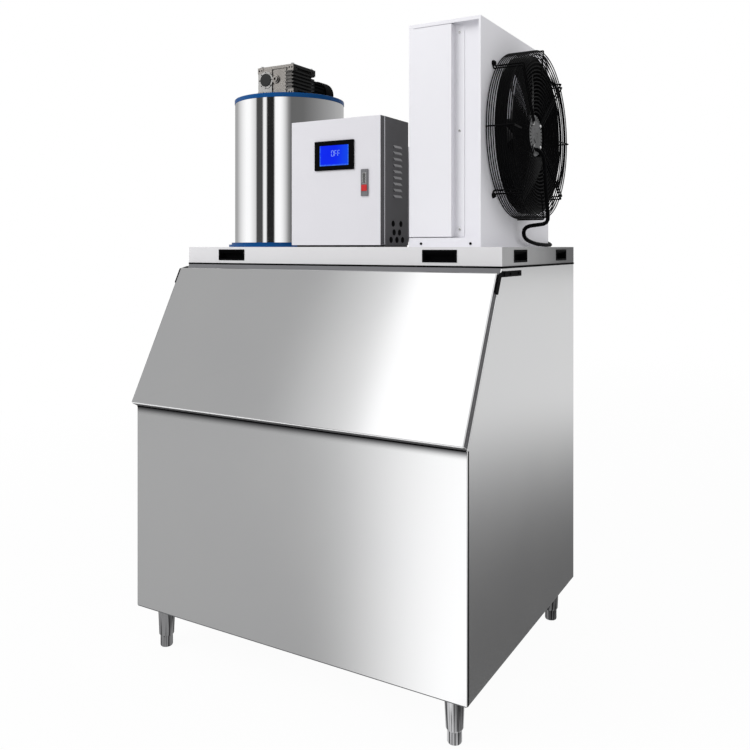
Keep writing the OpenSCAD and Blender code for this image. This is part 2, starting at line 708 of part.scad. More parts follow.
module control_door() {
  s = ctrl_sheet;
  color([0.88, 0.87, 0.89]) difference() {
    union() {
      difference() {
        box([ctrl_left, ctrl_y, ctrl_z], [ctrl_right, ctrl_y + ctrl_door, ctrl_top]);
        box([ctrl_left + s, ctrl_y + s, ctrl_z + s], [ctrl_right - s, ctrl_y + ctrl_door + eps, ctrl_top - s]);
      }
      for (z = [low_pin, high_pin]) box([ctrl_left + s - eps, ctrl_y + s - eps, z + ear_t + 0.4],
                                        [ctrl_left + 13, pin_y + 4, z + 2 * ear_t + 0.4]);
    }
    for (z = [low_pin, high_pin]) {
      translate([pin_x, pin_y, z]) cylinder(d = pin_d + 2 * run_gap, h = 20);
      box([ctrl_left - eps, ctrl_y + 4, z - 1.5], [ctrl_left + s + eps, ctrl_y + ctrl_door + eps, z + ear_t + 0.3]);
    }
    translate([ctrl_x - disp_w / 2 + 6, ctrl_y - eps, disp_z - disp_h / 2 + 6])
      cube([disp_w - 12, s + 2 * eps, disp_h - 12]);
    translate([latch_x - latch_w / 2 + 2, ctrl_y - eps, latch_z - latch_h / 2 + 3])
      cube([latch_w - 4, s + 2 * eps, latch_h - 6]);
  }
}

module display_frame() {
  color([0.05, 0.05, 0.06]) difference() {
    union() {
      translate([ctrl_x - disp_w / 2, ctrl_y - 6, disp_z - disp_h / 2]) cube([disp_w, 6, disp_h]);
      translate([ctrl_x - disp_w / 2 + 6, ctrl_y, disp_z - disp_h / 2 + 6]) cube([disp_w - 12, 18, disp_h - 12]);
    }
    translate([ctrl_x - 0.37 * disp_w, ctrl_y - 6 - eps, disp_z - 0.345 * disp_h])
      cube([0.74 * disp_w, 4 + eps, 0.69 * disp_h]);
  }
}

module display_screen() {
  color([0.1, 0.45, 0.75]) translate([ctrl_x - 0.37 * disp_w, ctrl_y - 4, disp_z - 0.345 * disp_h])
    cube([0.74 * disp_w, 2, 0.69 * disp_h]);
}

module latch_body() {
  color([0.35, 0.35, 0.37]) difference() {
    union() {
      translate([latch_x - latch_w / 2, ctrl_y - 5, latch_z - latch_h / 2]) cube([latch_w, 5, latch_h]);
      translate([latch_x - latch_w / 2 + 2, ctrl_y, latch_z - latch_h / 2 + 3]) cube([latch_w - 4, 17, latch_h - 6]);
    }
    translate([latch_x - button_w / 2 - slide_gap, ctrl_y - 5 - eps, button_z - button_h / 2 - slide_gap])
      cube([button_w + 2 * slide_gap, 10 + push + eps, button_h + 2 * slide_gap]);
    translate([latch_x - 7, ctrl_y - 5 - eps, button_z + button_h / 2 + 2]) cube([14, 2 + eps, 36]);
  }
}

module latch_paddle() {
  color([0.75, 0.76, 0.78]) translate([latch_x - 7, ctrl_y - 7, button_z + button_h / 2 + 2]) cube([14, 4, 36]);
}

module latch_button() {
  color([0.75, 0.05, 0.05]) translate([latch_x - button_w / 2, ctrl_y - 7, button_z - button_h / 2])
    cube([button_w, 11, button_h]);
}

module mounting_plate() {
  color([0.85, 0.85, 0.83]) box([ctrl_left + 24, ctrl_y + ctrl_d - 12, ctrl_z + 24],
                                [ctrl_right - 24, ctrl_y + ctrl_d - ctrl_sheet - weld, ctrl_top - 24]);
}

module contactors() {
  pitch = (ctrl_w - 96) / 3;
  w = 0.68 * pitch;
  slot = 0.18 * w;
  color([0.2, 0.2, 0.22]) for (i = [0:2])
    translate([ctrl_left + 51 + pitch * i, ctrl_y + ctrl_d - 84 - weld, ctrl_z + 0.515 * ctrl_h]) difference() {
      union() {
        cube([w, 72, 60]);
        translate([0, 16, -14]) cube([w, 56, 88]);
      }
      for (k = [0:2]) translate([(0.11 + 0.3 * k) * w, 10, 62]) cube([slot, 40, 20]);
      for (k = [0:2]) translate([(0.11 + 0.3 * k) * w, 10, -22]) cube([slot, 40, 20]);
    }
}

// Condensing unit
module condenser_case() {
  s = case_sheet;
  color([0.93, 0.93, 0.94]) difference() {
    union() {
      difference() {
        box([case_x, case_y, deck], [face_x, case_y + case_d, case_top]);
        box([case_x + s, case_y + recess + s, deck + s], [face_x - s, case_y + case_d - s, case_top - s]);
        box([case_x - eps, case_y - eps, deck + 29], [face_x - 7, case_y + recess, case_top - 11]);
        box([case_x - eps, case_y - eps, deck + 20], [face_x - s, case_y + recess, case_top - s]);
        box([case_x - eps, case_y + 34, deck + 30], [case_x + s + eps, case_y + case_d - 20, case_top - 20]);
      }
      box([case_x, case_y, case_top - 11], [face_x, case_y + s, case_top]);
      box([face_x - 7, case_y, deck], [face_x, case_y + s, case_top]);
      box([case_x, case_y + 2, deck], [face_x - s, case_y + recess + s, deck + 28]);
      at_fan() translate([-42, 0, 0]) along_x() cylinder(r = orifice_r + 2, h = 42 + collar);
      translate([face_x + gland[0], case_y + case_d - eps, deck + gland[2]]) along_y() cylinder(r = 10, h = 4 + eps);
    }
    at_fan() translate([-45, 0, 0]) along_x() cylinder(r = orifice_r, h = 50 + collar);
    translate([face_x + gland[0], case_y + case_d - 5, deck + gland[2]]) along_y() cylinder(d = cable_d + 0.2, h = 12);
  }
}

module condenser_cover() {
  s = 1.2;
  color([0.95, 0.95, 0.96]) difference() {
    union() {
      box([case_x, case_y + 1.6, cover_z], [case_x + cover_w, case_y + recess, cover_top]);
      box([case_x + cover_w - eps, case_y + recess - 2, cover_z], [case_x + cover_w + 32, case_y + recess, cover_top]);
    }
    box([case_x + s, case_y + 1.6 + s, cover_z + s], [case_x + cover_w - s, case_y + recess + eps, cover_top - s]);
  }
}

module condenser_coil() {
  color([0.7, 0.71, 0.72]) difference() {
    box([case_x + 4, case_y + 36, deck + case_sheet], [case_x + 56, case_y + case_d - 22, case_top - 22]);
    for (y = [case_y + 48:14:case_y + case_d - 36]) box([case_x, y, deck + 32], [case_x + 18, y + 10, case_top - 34]);
  }
}

function ring_p(r) = guard_p - (guard_r - r) * 16 / (guard_r - 90);

module guard_ring(r, p) {
  translate([p, 0, 0]) along_x() rotate_extrude() translate([r, 0]) circle(d = wire_d, $fn = 12);
}

// One bent wire: two runs over the front, down the side and joined by an eye on the case
module guard_arm(a) {
  e = wire_d / 2 + arm_d / 2 + weld;
  r = guard_r + e;
  p = ring_p(r) + e + weld;
  q = ring_p(54) + e + weld;
  half = [[q, 54, -7], [p, r, -7], [arm_d / 2 + weld, r, -7], [arm_d / 2 + weld, r + 16, -7]];
  eye = [for (t = [-60:30:60]) [arm_d / 2 + weld, r + 16 + 7 * cos(t) - 1, 7 * sin(t)]];
  run = rounded(half, 3, 2);
  back = [for (i = [len(run) - 1:-1:0]) [run[i][0], run[i][1], -run[i][2]]];
  rotate([a, 0, 0]) bar(concat(run, eye, back), arm_d, 8, [0, 0, 1]);
}

module guard_spoke(a) {
  e = wire_d / 2 + arm_d / 2 + weld;
  r = guard_r + e;
  half = [[ring_p(190) + e + weld, 190, 0], [ring_p(r) + e + weld, r, 0], [6, r, 0]];
  rotate([a, 0, 0]) bar(rounded(half, 3, 2), arm_d, 8, [0, 0, 1]);
}

module guard_rings() {
  color([0.05, 0.05, 0.05]) at_fan() {
    for (i = [0:11]) guard_ring(guard_r, 6 + i * side_pitch);
    for (r = [guard_r:-ring_pitch:stator_r + 8]) guard_ring(r, ring_p(r));
  }
}

module guard_arms() {
  color([0.05, 0.05, 0.05]) at_fan() {
    for (a = [45:90:315]) guard_arm(a);
    for (a = [0:90:270]) guard_spoke(a);
  }
}

module fan_motor() {
  back = fan_out + 29;
  color([0.6, 0.61, 0.62]) at_fan() along_x() difference() {
    union() {
      translate([0, 0, back]) cylinder(r = stator_r - 7, h = stator_p - back - 3);
      translate([0, 0, stator_p - 10]) cylinder(r = 26, h = 10);
      for (a = [6:12:354]) rotate([0, 0, a]) translate([stator_r - 17, -2, back + 6]) cube([17, 4, stator_p - back - 12]);
      for (a = [45:90:315]) rotate([0, 0, a]) translate([stator_r - 18, 0, stator_p - 8]) cylinder(r = 8, h = 8);
    }
    translate([0, 0, back - 9]) cylinder(r = fan_shaft / 2 + run_gap, h = 24);
    translate([0, 0, stator_p - 3]) cylinder(r = 9, h = 4);
  }
}

// A blade is a bent strip turned while it is raised
module fan_blade() {
  r0 = 59;
  r1 = fan_d / 2;
  n = 6;
  mid = [for (i = [0:n]) let(r = r0 + (r1 - r0) * i / n, a = 22 * pow(i / n, 1.6)) [r * cos(a), r * sin(a)]];
  back = [for (i = [n:-1:0]) let(r = r0 + (r1 - r0) * i / n, a = 22 * pow(i / n, 1.6) + 172 / r) [r * cos(a), r * sin(a)]];
  translate([0, 0, -52]) linear_extrude(height = 58, twist = -62, slices = 9, $fn = 8) polygon(concat(mid, back));
}

module fan_rotor() {
  color([0.06, 0.06, 0.06]) at_fan() along_x() translate([0, 0, fan_out]) union() {
    translate([0, 0, -58]) cylinder(r = 62, h = 84);
    translate([0, 0, 20]) cylinder(d = fan_shaft, h = 22);
    for (i = [0:blades - 1]) rotate([0, 0, 360 / blades * i]) fan_blade();
  }
}

module fan_cable() {
  color([0.05, 0.05, 0.05]) translate([face_x, case_y + case_d / 2, deck]) bar(cable_route, cable_d, 10, [1, 0, 0]);
}

// Compressor and the rest of the cold circuit
module compressor() {
  color([0.06, 0.06, 0.06]) translate([comp_x, comp_y, deck]) union() {
    rotate_extrude() polygon([[0, 22], [60, 22], [86, 34], [94, 60], [94, 300], [84, 334], [56, 356], [0, 366]]);
    translate([-110, -110, 18]) cube([220, 220, 6]);
    for (sx = [-1, 1]) for (sy = [-1, 1]) translate([sx * 92, sy * 92, 0]) cylinder(r = 16, h = 30);
    translate([-38, -122, 190]) cube([76, 50, 90]);
    translate([80, 30, 250]) along_x() cylinder(r = 10, h = 30);
    translate([-110, 30, 260]) along_x() cylinder(r = 14, h = 30);
  }
}

module receiver() {
  color([0.07, 0.07, 0.07]) translate([case_x - 57, tray_y + 600, deck]) union() {
    rotate_extrude() polygon([[0, 8], [30, 12], [44, 26], [48, 44], [48, 270], [44, 288], [30, 302], [0, 306]]);
    cylinder(r = 36, h = 20);
    translate([0, 0, 300]) cylinder(r = 9, h = 26);
  }
}

module discharge_pipe() {
  color([0.72, 0.42, 0.25]) translate([comp_x, comp_y, deck])
    bar(rounded([[110, 30, 250], [145, 30, 250], [145, 30, 340], [145, 100, 340], [case_x + 4 - comp_x, 100, 340]],
                17, 4), 14, 10, [0, 0, 1]);
}

// Up from the compressor and straight on to the drum
module suction_pipe() {
  drum = [drum_x, drum_y];
  reach = norm(riser - drum);
  end = drum + (riser - drum) * shell_r / reach;
  color([0.72, 0.42, 0.25]) translate([0, 0, deck])
    bar(rounded([[comp_x - 110, riser[1], 260], [riser[0], riser[1], 260], [riser[0], riser[1], 420],
                 [end[0], end[1], 420]], min(24, (reach - shell_r) / 2), 4), 22, 10, [0, 1, 0]);
}

// Water circuit
module water_tank() {
  color([0.9, 0.9, 0.9]) translate([-side_x + 130, tray_y + 540, deck]) union() {
    cube([220, 150, 150]);
    translate([-4, -4, 150]) cube([228, 158, 10]);
  }
}

module water_pump() {
  color([0.1, 0.1, 0.1]) translate([drum_x + 170, tray_y + 615, deck]) union() {
    translate([-45, -45, 0]) cube([90, 90, 8]);
    translate([0, 0, 8]) cylinder(r = 40, h = 46);
    translate([0, 0, 54]) cylinder(r = 34, h = 80);
    translate([-60, 0, 30]) along_x() cylinder(r = 11, h = 40);
  }
}

bin_shell();
bin_insulation();
bin_liner();
opening_frame();
ice_chute();
drain_outlet();
door_skin();
door_core();
door_liner();
door_gasket();
bin_hinge_leaves();
door_hinge_leaves();
legs();
foot(-1, -1);  // foot_front_left
foot(1, -1);  // foot_front_right
foot(-1, 1);  // foot_rear_left
foot(1, 1);  // foot_rear_right
base_tray();
base_seal();
front_handle_cups();
side_handle_cups();
drum_base();
drum_shell();
drum_insulation();
freezing_cylinder();
drum_top_cover();
spindle_bearings();
spindle();
blade_carrier();
ice_blade();
wiper();
water_ring();
water_pan();
gearbox();
worm_end_cap();
gear_motor();
motor_cowl();
control_case();
control_door();
display_frame();
display_screen();
latch_body();
latch_paddle();
latch_button();
mounting_plate();
contactors();
condenser_case();
condenser_cover();
condenser_coil();
guard_rings();
guard_arms();
fan_motor();
fan_rotor();
fan_cable();
compressor();
receiver();
discharge_pipe();
suction_pipe();
water_tank();
water_pump();
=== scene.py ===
# Flake ice machine: finishes, cable, folded sheets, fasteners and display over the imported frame
import json
import math

import bpy
from mathutils import Matrix, Vector

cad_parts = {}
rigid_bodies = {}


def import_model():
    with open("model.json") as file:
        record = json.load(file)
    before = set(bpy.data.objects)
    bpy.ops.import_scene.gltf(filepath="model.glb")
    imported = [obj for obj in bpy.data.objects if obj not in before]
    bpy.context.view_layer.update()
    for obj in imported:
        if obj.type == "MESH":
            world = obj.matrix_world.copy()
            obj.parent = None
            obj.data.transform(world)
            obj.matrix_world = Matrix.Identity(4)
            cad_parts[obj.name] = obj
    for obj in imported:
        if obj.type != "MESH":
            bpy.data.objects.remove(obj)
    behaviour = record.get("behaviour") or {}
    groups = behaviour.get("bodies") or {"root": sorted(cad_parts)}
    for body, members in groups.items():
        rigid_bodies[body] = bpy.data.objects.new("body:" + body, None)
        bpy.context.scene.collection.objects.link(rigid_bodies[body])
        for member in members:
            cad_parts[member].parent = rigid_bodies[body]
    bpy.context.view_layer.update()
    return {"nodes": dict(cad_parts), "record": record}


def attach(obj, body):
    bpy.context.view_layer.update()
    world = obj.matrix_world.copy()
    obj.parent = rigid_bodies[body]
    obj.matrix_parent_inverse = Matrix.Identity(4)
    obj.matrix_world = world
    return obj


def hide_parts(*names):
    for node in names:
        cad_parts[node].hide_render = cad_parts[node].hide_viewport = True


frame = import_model()

# Bin, door and tray, in metres
SIDE = 0.6
FRONT = -0.46671
BACK = 0.49329
BIN_LOW = 0.145
SLOPE_LOW = 0.813
BIN_TOP = 1.285
TRAY_FRONT = -0.21971
TRAY_LOW = 1.288
DECK = 1.345
SLOPE = math.atan2(TRAY_FRONT - FRONT, BIN_TOP - SLOPE_LOW)
DOWN_SLOPE = Vector((0.0, -math.sin(SLOPE), -math.cos(SLOPE)))
OPENING_EDGE = 0.062
OPENING_WIDE = 1.060
DOOR_GAP = 0.005
DOOR_LONG = 0.5027
DOOR_DEEP = 0.030
HINGE_SIDE = 0.603
HINGE_Y = -0.21471
HINGE_Z = 1.2665
SHEET = 0.0015
NEAR = 0.0001

# Condenser and fan
FAN_FACE = 0.511
FAN_Y = 0.13329
FAN_Z = 1.708
CASE_MID = 0.15529
RAIL_LEFT = 0.270
RAIL_FRONT = -0.16271
STRIP_X = 0.4302
STRIP_FRONT = -0.13671
GUARD_FOOT = 0.0052
GUARD_RADIUS = 0.2884
MOTOR_FACE = 0.0727
MOTOR_RADIUS = 0.049
FIN_FACE = 0.0697
CABLE_WIDE = 0.013

# Drum and gearbox
DRUM_X = -0.36
DRUM_Y = 0.06729
GEAR_X = -0.374
GEAR_TOP = 2.017
CAP_X = -0.418
CAP_Z = 1.968
CAP_FRONT = -0.00471

# Control box, with the middle and the half size of its screen
BOX_RIGHT = 0.195
BOX_FRONT = -0.21371
BOX_LOW = 1.351
SCREEN_X = 0.024
SCREEN_Z = 1.64068
SCREEN_HALF = (0.0555, 0.0328)

# Directions, the axes by number, and the angles of four and of eight things on a circle
RIGHT = (1.0, 0.0, 0.0)
FORWARDS = (0.0, -1.0, 0.0)
UP = (0.0, 0.0, 1.0)
X, Y, Z = range(3)
FOUR_CORNERS = (45, 135, 225, 315)
EIGHT_ROUND = range(0, 360, 45)

# Camera at the photograph's angle, and where its image in the bin's front stands on the floor
EYE = (1.438, -2.3927, 1.345)
EYE_TURN = 30.1
MIRRORED_EYE = (1.438, 1.459)
lens = bpy.data.cameras.new("eye")
lens.sensor_width = 36.0
lens.lens = 38.5
lens.shift_y = -0.1707
lens.clip_end = 200.0
camera = bpy.data.objects.new("camera", lens)
camera.location = EYE
camera.rotation_euler = (math.radians(90.0), 0.0, math.radians(EYE_TURN))
bpy.context.scene.collection.objects.link(camera)
bpy.context.scene.camera = camera
bpy.context.scene.view_settings.view_transform = "Standard"


class Tap:
    """One socket of a finish, so that its values can be written as sums."""

    def __init__(self, finish, socket):
        self.finish = finish
        self.socket = socket

    def maths(self, operation, first, second):
        return self.finish.node("Math", {"operation": operation}, {0: first, 1: second})

    def __add__(self, other):
        return self.maths("ADD", self, other)

    def __radd__(self, other):
        return self.maths("ADD", other, self)

    def __sub__(self, other):
        return self.maths("SUBTRACT", self, other)

    def __rsub__(self, other):
        return self.maths("SUBTRACT", other, self)

    def __mul__(self, other):
        return self.maths("MULTIPLY", self, other)

    def __truediv__(self, other):
        return self.maths("DIVIDE", self, other)

    def __pow__(self, other):
        return self.maths("POWER", self, other)

    def __abs__(self):
        return self.maths("ABSOLUTE", self, 0.0)


class Finish:
    """The node tree of one finish, or of the studio."""

    def __init__(self, owner):
        owner.use_nodes = True
        self.owner = owner
        self.tree = owner.node_tree
        self.tree.nodes.clear()

    def node(self, kind, settings=None, sockets=None, out=0):
        made = self.tree.nodes.new("ShaderNode" + kind)
        for name, value in (settings or {}).items():
            if name == "stops":
                ramp = made.color_ramp
                while len(ramp.elements) < len(value):
                    ramp.elements.new(0.5)
                for element, (place, tint) in zip(ramp.elements, value):
                    element.position = place
                    element.color = tint
            else:
                setattr(made, name, value)
        for key, value in (sockets or {}).items():
            if isinstance(value, Tap):
                self.tree.links.new(value.socket, made.inputs[key])
            else:
                made.inputs[key].default_value = value
        return Tap(self, made.outputs[out]) if made.outputs else None

    def place(self):
        return self.node("TexCoord", out="Object")

    def along(self, axis, where=None):
        return self.node("SeparateXYZ", {}, {0: where or self.place()}, out=axis)

    def stretched(self, scale):
        return self.node("Mapping", {}, {"Vector": self.place(), "Scale": scale})

    def bearing(self, across, ahead):
        """The angle of a point round the upright axis, in degrees."""
        return self.node("Math", {"operation": "ARCTAN2"}, {0: across, 1: ahead}) * (180.0 / math.pi)

    def ray(self, kind):
        return self.node("LightPath", out="Is " + kind + " Ray")

    def noise(self, scale, detail, rough, where=None):
        return self.node("TexNoise", {}, {
            "Vector": where or self.place(), "Scale": scale, "Detail": detail, "Roughness": rough})

    def cells(self, scale):
        return self.node("TexVoronoi", {"feature": "F1"}, {
            "Vector": self.place(), "Scale": scale}, out="Distance")

    def ribs(self, scale):
        return self.node("TexWave", {"wave_type": "BANDS", "bands_direction": "Z"}, {
            "Vector": self.place(), "Scale": scale})

    def ease(self, value, low, high, first=0.0, last=1.0):
        return self.node("MapRange", {"interpolation_type": "SMOOTHSTEP"}, {
            "Value": value, "From Min": low, "From Max": high, "To Min": first, "To Max": last})

    def blend(self, factor, first, second):
        return self.node("Mix", {"data_type": "RGBA"}, {0: factor, 6: first, 7: second}, out=2)

    def bump(self, height, strength, depth):
        return self.node("Bump", {}, {"Height": height, "Strength": strength, "Distance": depth})

    def skin(self, **sockets):
        named = {key.replace("_", " "): value for key, value in sockets.items()}
        shader = self.node("BsdfPrincipled", {}, named)
        self.node("OutputMaterial", {}, {"Surface": shader})
        return self.owner


def shade(red, green, blue):
    return (red, green, blue, 1.0)


def grey(tone):
    return shade(tone, tone, tone)


def started(name):
    return Finish(bpy.data.materials.new(name))


def sheet_steel(name, tone, gloss, grain, wave, stretch, painted_shadow_top=None):
    """Rolled sheet: fine grain along one way, slight waves, wiped patches, and a painted shadow just
    below a given height.
    """
    made = started(name)
    lines = made.noise(1.0, 3.0, 0.6, made.stretched(stretch))
    smear = made.noise(3.2, 4.0, 0.55)
    swell = made.noise(1.3, 1.0, 0.4)
    colour = made.blend(smear, shade(tone * 0.95, tone * 0.955, tone * 0.97), grey(tone))
    if painted_shadow_top:
        # Painted shadow: darker just below the given height, where the door's lower edge overhangs
        painted_shadow = made.ease(made.along("Z"), painted_shadow_top - 0.030, painted_shadow_top - 0.001) ** 1.4
        colour = made.blend(painted_shadow, colour, shade(tone * 0.07, tone * 0.07, tone * 0.075))
    return made.skin(
        Base_Color=colour, Metallic=1.0, Roughness=gloss + (lines - 0.5) * 0.05 + (smear - 0.5) * 0.08,
        Normal=made.bump(lines * grain + swell * wave, 0.35, 0.01))


def painted(name, colour, gloss, peel, fade, shine=0.5):
    """Powder coat or enamel: orange peel, faint fading and dulled patches."""
    made = started(name)
    drift = made.noise(2.4, 3.0, 0.55)
    grain = made.noise(520.0, 2.0, 0.5)
    pale = tuple(min(1.0, part * (1.0 + fade)) for part in colour)
    deep = tuple(part * (1.0 - fade) for part in colour)
    return made.skin(
        Base_Color=made.blend(made.ease(drift, 0.3, 0.7), shade(*deep), shade(*pale)),
        Roughness=gloss + (drift - 0.5) * 0.14 + (grain - 0.5) * 0.05, Specular_IOR_Level=shine,
        Normal=made.bump(grain, peel, 0.0004))


def moulded(name, colour, gloss, grain, shine=0.5):
    """Moulded plastic or rubber with a fine spark-eroded grain."""
    made = started(name)
    pits = made.cells(900.0)
    drift = made.noise(14.0, 3.0, 0.6)
    pale = tuple(min(1.0, part * 1.12 + 0.0005) for part in colour)
    return made.skin(
        Base_Color=made.blend(drift, shade(*colour), shade(*pale)),
        Roughness=gloss + (drift - 0.5) * 0.16, Specular_IOR_Level=shine,
        Normal=made.bump(pits, grain, 0.0003))


def cast_metal(name, colour, gloss, sand):
    """Sand or die casting: pitted skin, darker oil marks in the hollows."""
    made = started(name)
    pits = made.noise(260.0, 4.0, 0.6)
    stain = made.ease(made.noise(16.0, 4.0, 0.6), 0.42, 0.72)
    dark = tuple(part * 0.55 for part in colour)
    return made.skin(
        Base_Color=made.blend(stain * 0.6, shade(*colour), shade(*dark)), Metallic=1.0,
        Roughness=gloss + (pits - 0.5) * 0.2 + stain * 0.08, Normal=made.bump(pits, sand, 0.0008))


def turned_metal(name, colour, gloss, dull):
    """Machined or drawn metal with fine tool lines and tarnish."""
    made = started(name)
    lines = made.noise(1.0, 2.0, 0.5, made.stretched((60.0, 60.0, 900.0)))
    tarnish = made.ease(made.noise(9.0, 4.0, 0.6), 0.4, 0.75)
    worn = tuple(part * dull for part in colour)
    return made.skin(
        Base_Color=made.blend(tarnish, shade(*colour), shade(*worn)), Metallic=1.0,
        Roughness=gloss + (lines - 0.5) * 0.12 + tarnish * 0.1, Normal=made.bump(lines, 0.12, 0.0003))


def drawn_tube(name):
    """Polished tube with a painted reflection: bright and dark streaks along its length in its colour."""
    made = started(name)
    reflection_streak = made.ease(made.noise(1.0, 1.0, 0.5, made.stretched((170.0, 170.0, 2.0))), 0.36, 0.60)
    fine = made.noise(1.0, 2.0, 0.5, made.stretched((700.0, 700.0, 6.0)))
    return made.skin(
        Base_Color=made.blend(reflection_streak, shade(0.03, 0.03, 0.032), shade(0.50, 0.50, 0.51)), Metallic=1.0,
        Roughness=0.14 + fine * 0.1)


def foam_core(name):
    """Sprayed foam: round cells under a torn skin."""
    made = started(name)
    stain = made.noise(8.0, 3.0, 0.6)
    return made.skin(
        Base_Color=made.blend(stain, shade(0.78, 0.69, 0.43), shade(0.86, 0.79, 0.55)),
        Roughness=0.78 + stain * 0.15, Normal=made.bump(made.cells(240.0), 0.6, 0.002))


def lit_screen(name):
    """Backlit blue panel: greener to the right, with pale specks along its rim and its lower edge."""
    made = started(name)
    across = made.along("X") - SCREEN_X
    down = made.along("Z") - SCREEN_Z
    wide, tall = SCREEN_HALF
    middle = made.blend(made.noise(9.0, 1.0, 0.4), shade(0.002, 0.012, 0.84), shade(0.005, 0.030, 1.0))
    turned = made.blend(made.ease(across, 0.0, wide), middle, shade(0.006, 0.065, 0.88))
    rim = made.ease(abs(across), wide - 0.0052, wide - 0.0015)
    sill = made.ease(down, 0.006 - tall, 0.002 - tall)
    specks = made.ease(made.noise(420.0, 1.0, 0.5), 0.35, 0.60)
    return made.skin(
        Base_Color=shade(0.002, 0.004, 0.03), Roughness=0.12 + made.ribs(180.0) * 0.04,
        Specular_IOR_Level=0.08, Emission_Strength=0.9,
        Emission_Color=made.blend((rim + sill) * specks * 0.6, turned, shade(0.10, 0.34, 0.92)))


def lit_bars(name):
    """The display's lit bars, unevenly bright."""
    made = started(name)
    flick = made.noise(60.0, 1.0, 0.5)
    return made.skin(
        Base_Color=shade(0.02, 0.04, 0.3), Roughness=0.4, Emission_Strength=0.7,
        Emission_Color=made.blend(flick, shade(0.30, 0.52, 1.0), shade(0.42, 0.65, 1.0)))


def finned_metal(name):
    """Bare aluminium fins with dust between them."""
    made = started(name)
    dust = made.noise(12.0, 4.0, 0.6)
    return made.skin(
        Base_Color=made.blend(
            made.ease(dust, 0.4, 0.7), shade(0.90, 0.91, 0.92), shade(0.78, 0.77, 0.75)),
        Metallic=0.3, Roughness=0.42 + dust * 0.2, Normal=made.bump(made.ribs(120.0), 0.4, 0.0012))


def tray_side_painted_shade(name):
    """Grey side panel of the tray in painted shade: darker than its front, and darker still towards the
    back.
    """
    made = started(name)
    drift = made.noise(6.0, 3.0, 0.55)
    # Painted shade, deeper towards the back
    dull = made.ease(made.along("Y") + (drift - 0.5) * 0.1, -0.2, 0.5)
    return made.skin(
        Base_Color=made.blend(dull, shade(0.42, 0.42, 0.425), shade(0.11, 0.11, 0.113)),
        Roughness=0.4 + drift * 0.1, Specular_IOR_Level=0.2)


# How far each sheet's grain is stretched: upright, round the drum and across
BRUSHED = (420.0, 420.0, 5.0)
ROLLED = (9.0, 9.0, 500.0)
DRAWN = (9.0, 700.0, 700.0)

FINISHES = {}
for maker, name, *settings in (
        (sheet_steel, "polished_steel", 0.80, 0.20, 0.0010, 0.05, BRUSHED),
        (sheet_steel, "drum_steel", 0.84, 0.05, 0.0003, 0.008, ROLLED),
        (sheet_steel, "inner_steel", 0.62, 0.34, 0.01, 0.05, DRAWN),
        (turned_metal, "machine_steel", (0.64, 0.65, 0.66), 0.14, 0.85),
        (foam_core, "foam"),
        (moulded, "food_plastic", (0.80, 0.80, 0.78), 0.36, 0.05),
        (moulded, "seal_rubber", (0.003, 0.003, 0.0033), 0.62, 0.25, 0.01),
        (painted, "black_steel", (0.003, 0.003, 0.0034), 0.46, 0.08, 0.12, 0.012),
        (painted, "white_paint", (0.84, 0.835, 0.875), 0.34, 0.05, 0.012),
        (painted, "grey_paint", (0.72, 0.712, 0.75), 0.36, 0.05, 0.015),
        (painted, "dark_paint", (0.055, 0.053, 0.060), 0.42, 0.05, 0.03),
        (painted, "blue_paint", (0.004, 0.066, 0.225), 0.24, 0.06, 0.06, 0.1),
        (moulded, "black_plastic", (0.003, 0.003, 0.0034), 0.42, 0.12, 0.01),
        (lit_screen, "screen_glass"),
        (cast_metal, "cast_aluminium", (0.06, 0.058, 0.055), 0.36, 0.3),
        (finned_metal, "fin_aluminium"),
        (painted, "latch_grey", (0.16, 0.16, 0.17), 0.4, 0.1, 0.05),
        (turned_metal, "bright_metal", (0.78, 0.78, 0.78), 0.16, 0.9),
        (moulded, "red_plastic", (0.52, 0.02, 0.022), 0.3, 0.05),
        (turned_metal, "copper", (0.72, 0.36, 0.22), 0.3, 0.62),
        (moulded, "tank_plastic", (0.70, 0.72, 0.72), 0.4, 0.06)):
    FINISHES[name] = maker(name, *settings)

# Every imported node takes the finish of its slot
SLOTS = {part["node"]: part["material_slot"] for part in frame["record"]["subparts"]}
for node, slot in SLOTS.items():
    for place in frame["nodes"][node].material_slots:
        place.material = FINISHES[slot]

# Legs and feet are drawn tube, with painted reflection streaks
tube = drawn_tube("drawn_tube")
for node in ("legs", "foot_front_left", "foot_front_right", "foot_rear_left", "foot_rear_right"):
    for place in frame["nodes"][node].material_slots:
        place.material = tube


def settle(piece, name, slot, body, *nodes):
    """Names a finished piece, gives it its finish and body, and hides the nodes that it stands for."""
    piece.name = name
    piece.data.name = name
    piece.data.materials.clear()
    piece.data.materials.append(FINISHES[slot])
    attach(piece, body)
    for node in nodes:
        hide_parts(node)
    return piece


# Fan cable: from the fan's motor down past the guard, along the tray and into the gland at the back,
# in millimetres from the middle of the case's side at the tray
CABLE = [
    (62, -30, 318), (76, -28, 316), (85, -20, 308), (90, -10, 294), (91, -3, 276), (91, 1, 254),
    (92, 3, 228), (93, 4, 200), (95, 5, 172), (97, 5, 146), (99, 5, 120), (101, 4, 102), (101, 3, 90),
    (97, 0, 80), (88, -4, 75), (75, -9, 73), (61, -14, 71), (48, -18, 69), (37, -20, 65), (29, -20, 57),
    (25, -15, 47), (23, -5, 37), (22, 10, 29), (22, 30, 23), (23, 55, 18), (24, 85, 14), (24, 115, 11),
    (24, 150, 9), (23, 185, 8), (22, 215, 7), (20, 245, 7), (17, 275, 7), (13, 300, 7), (9, 317, 8),
    (2, 327, 11), (-8, 331, 15), (-20, 332, 21), (-32, 332, 29), (-41, 330, 37), (-46, 325, 42),
    (-47, 318, 44)]
route = [Vector((FAN_FACE + x / 1000, CASE_MID + y / 1000, DECK + z / 1000)) for x, y, z in CABLE]
lead = bpy.data.curves.new("fan_lead", "CURVE")
lead.dimensions = "3D"
lead.bevel_depth = CABLE_WIDE / 2
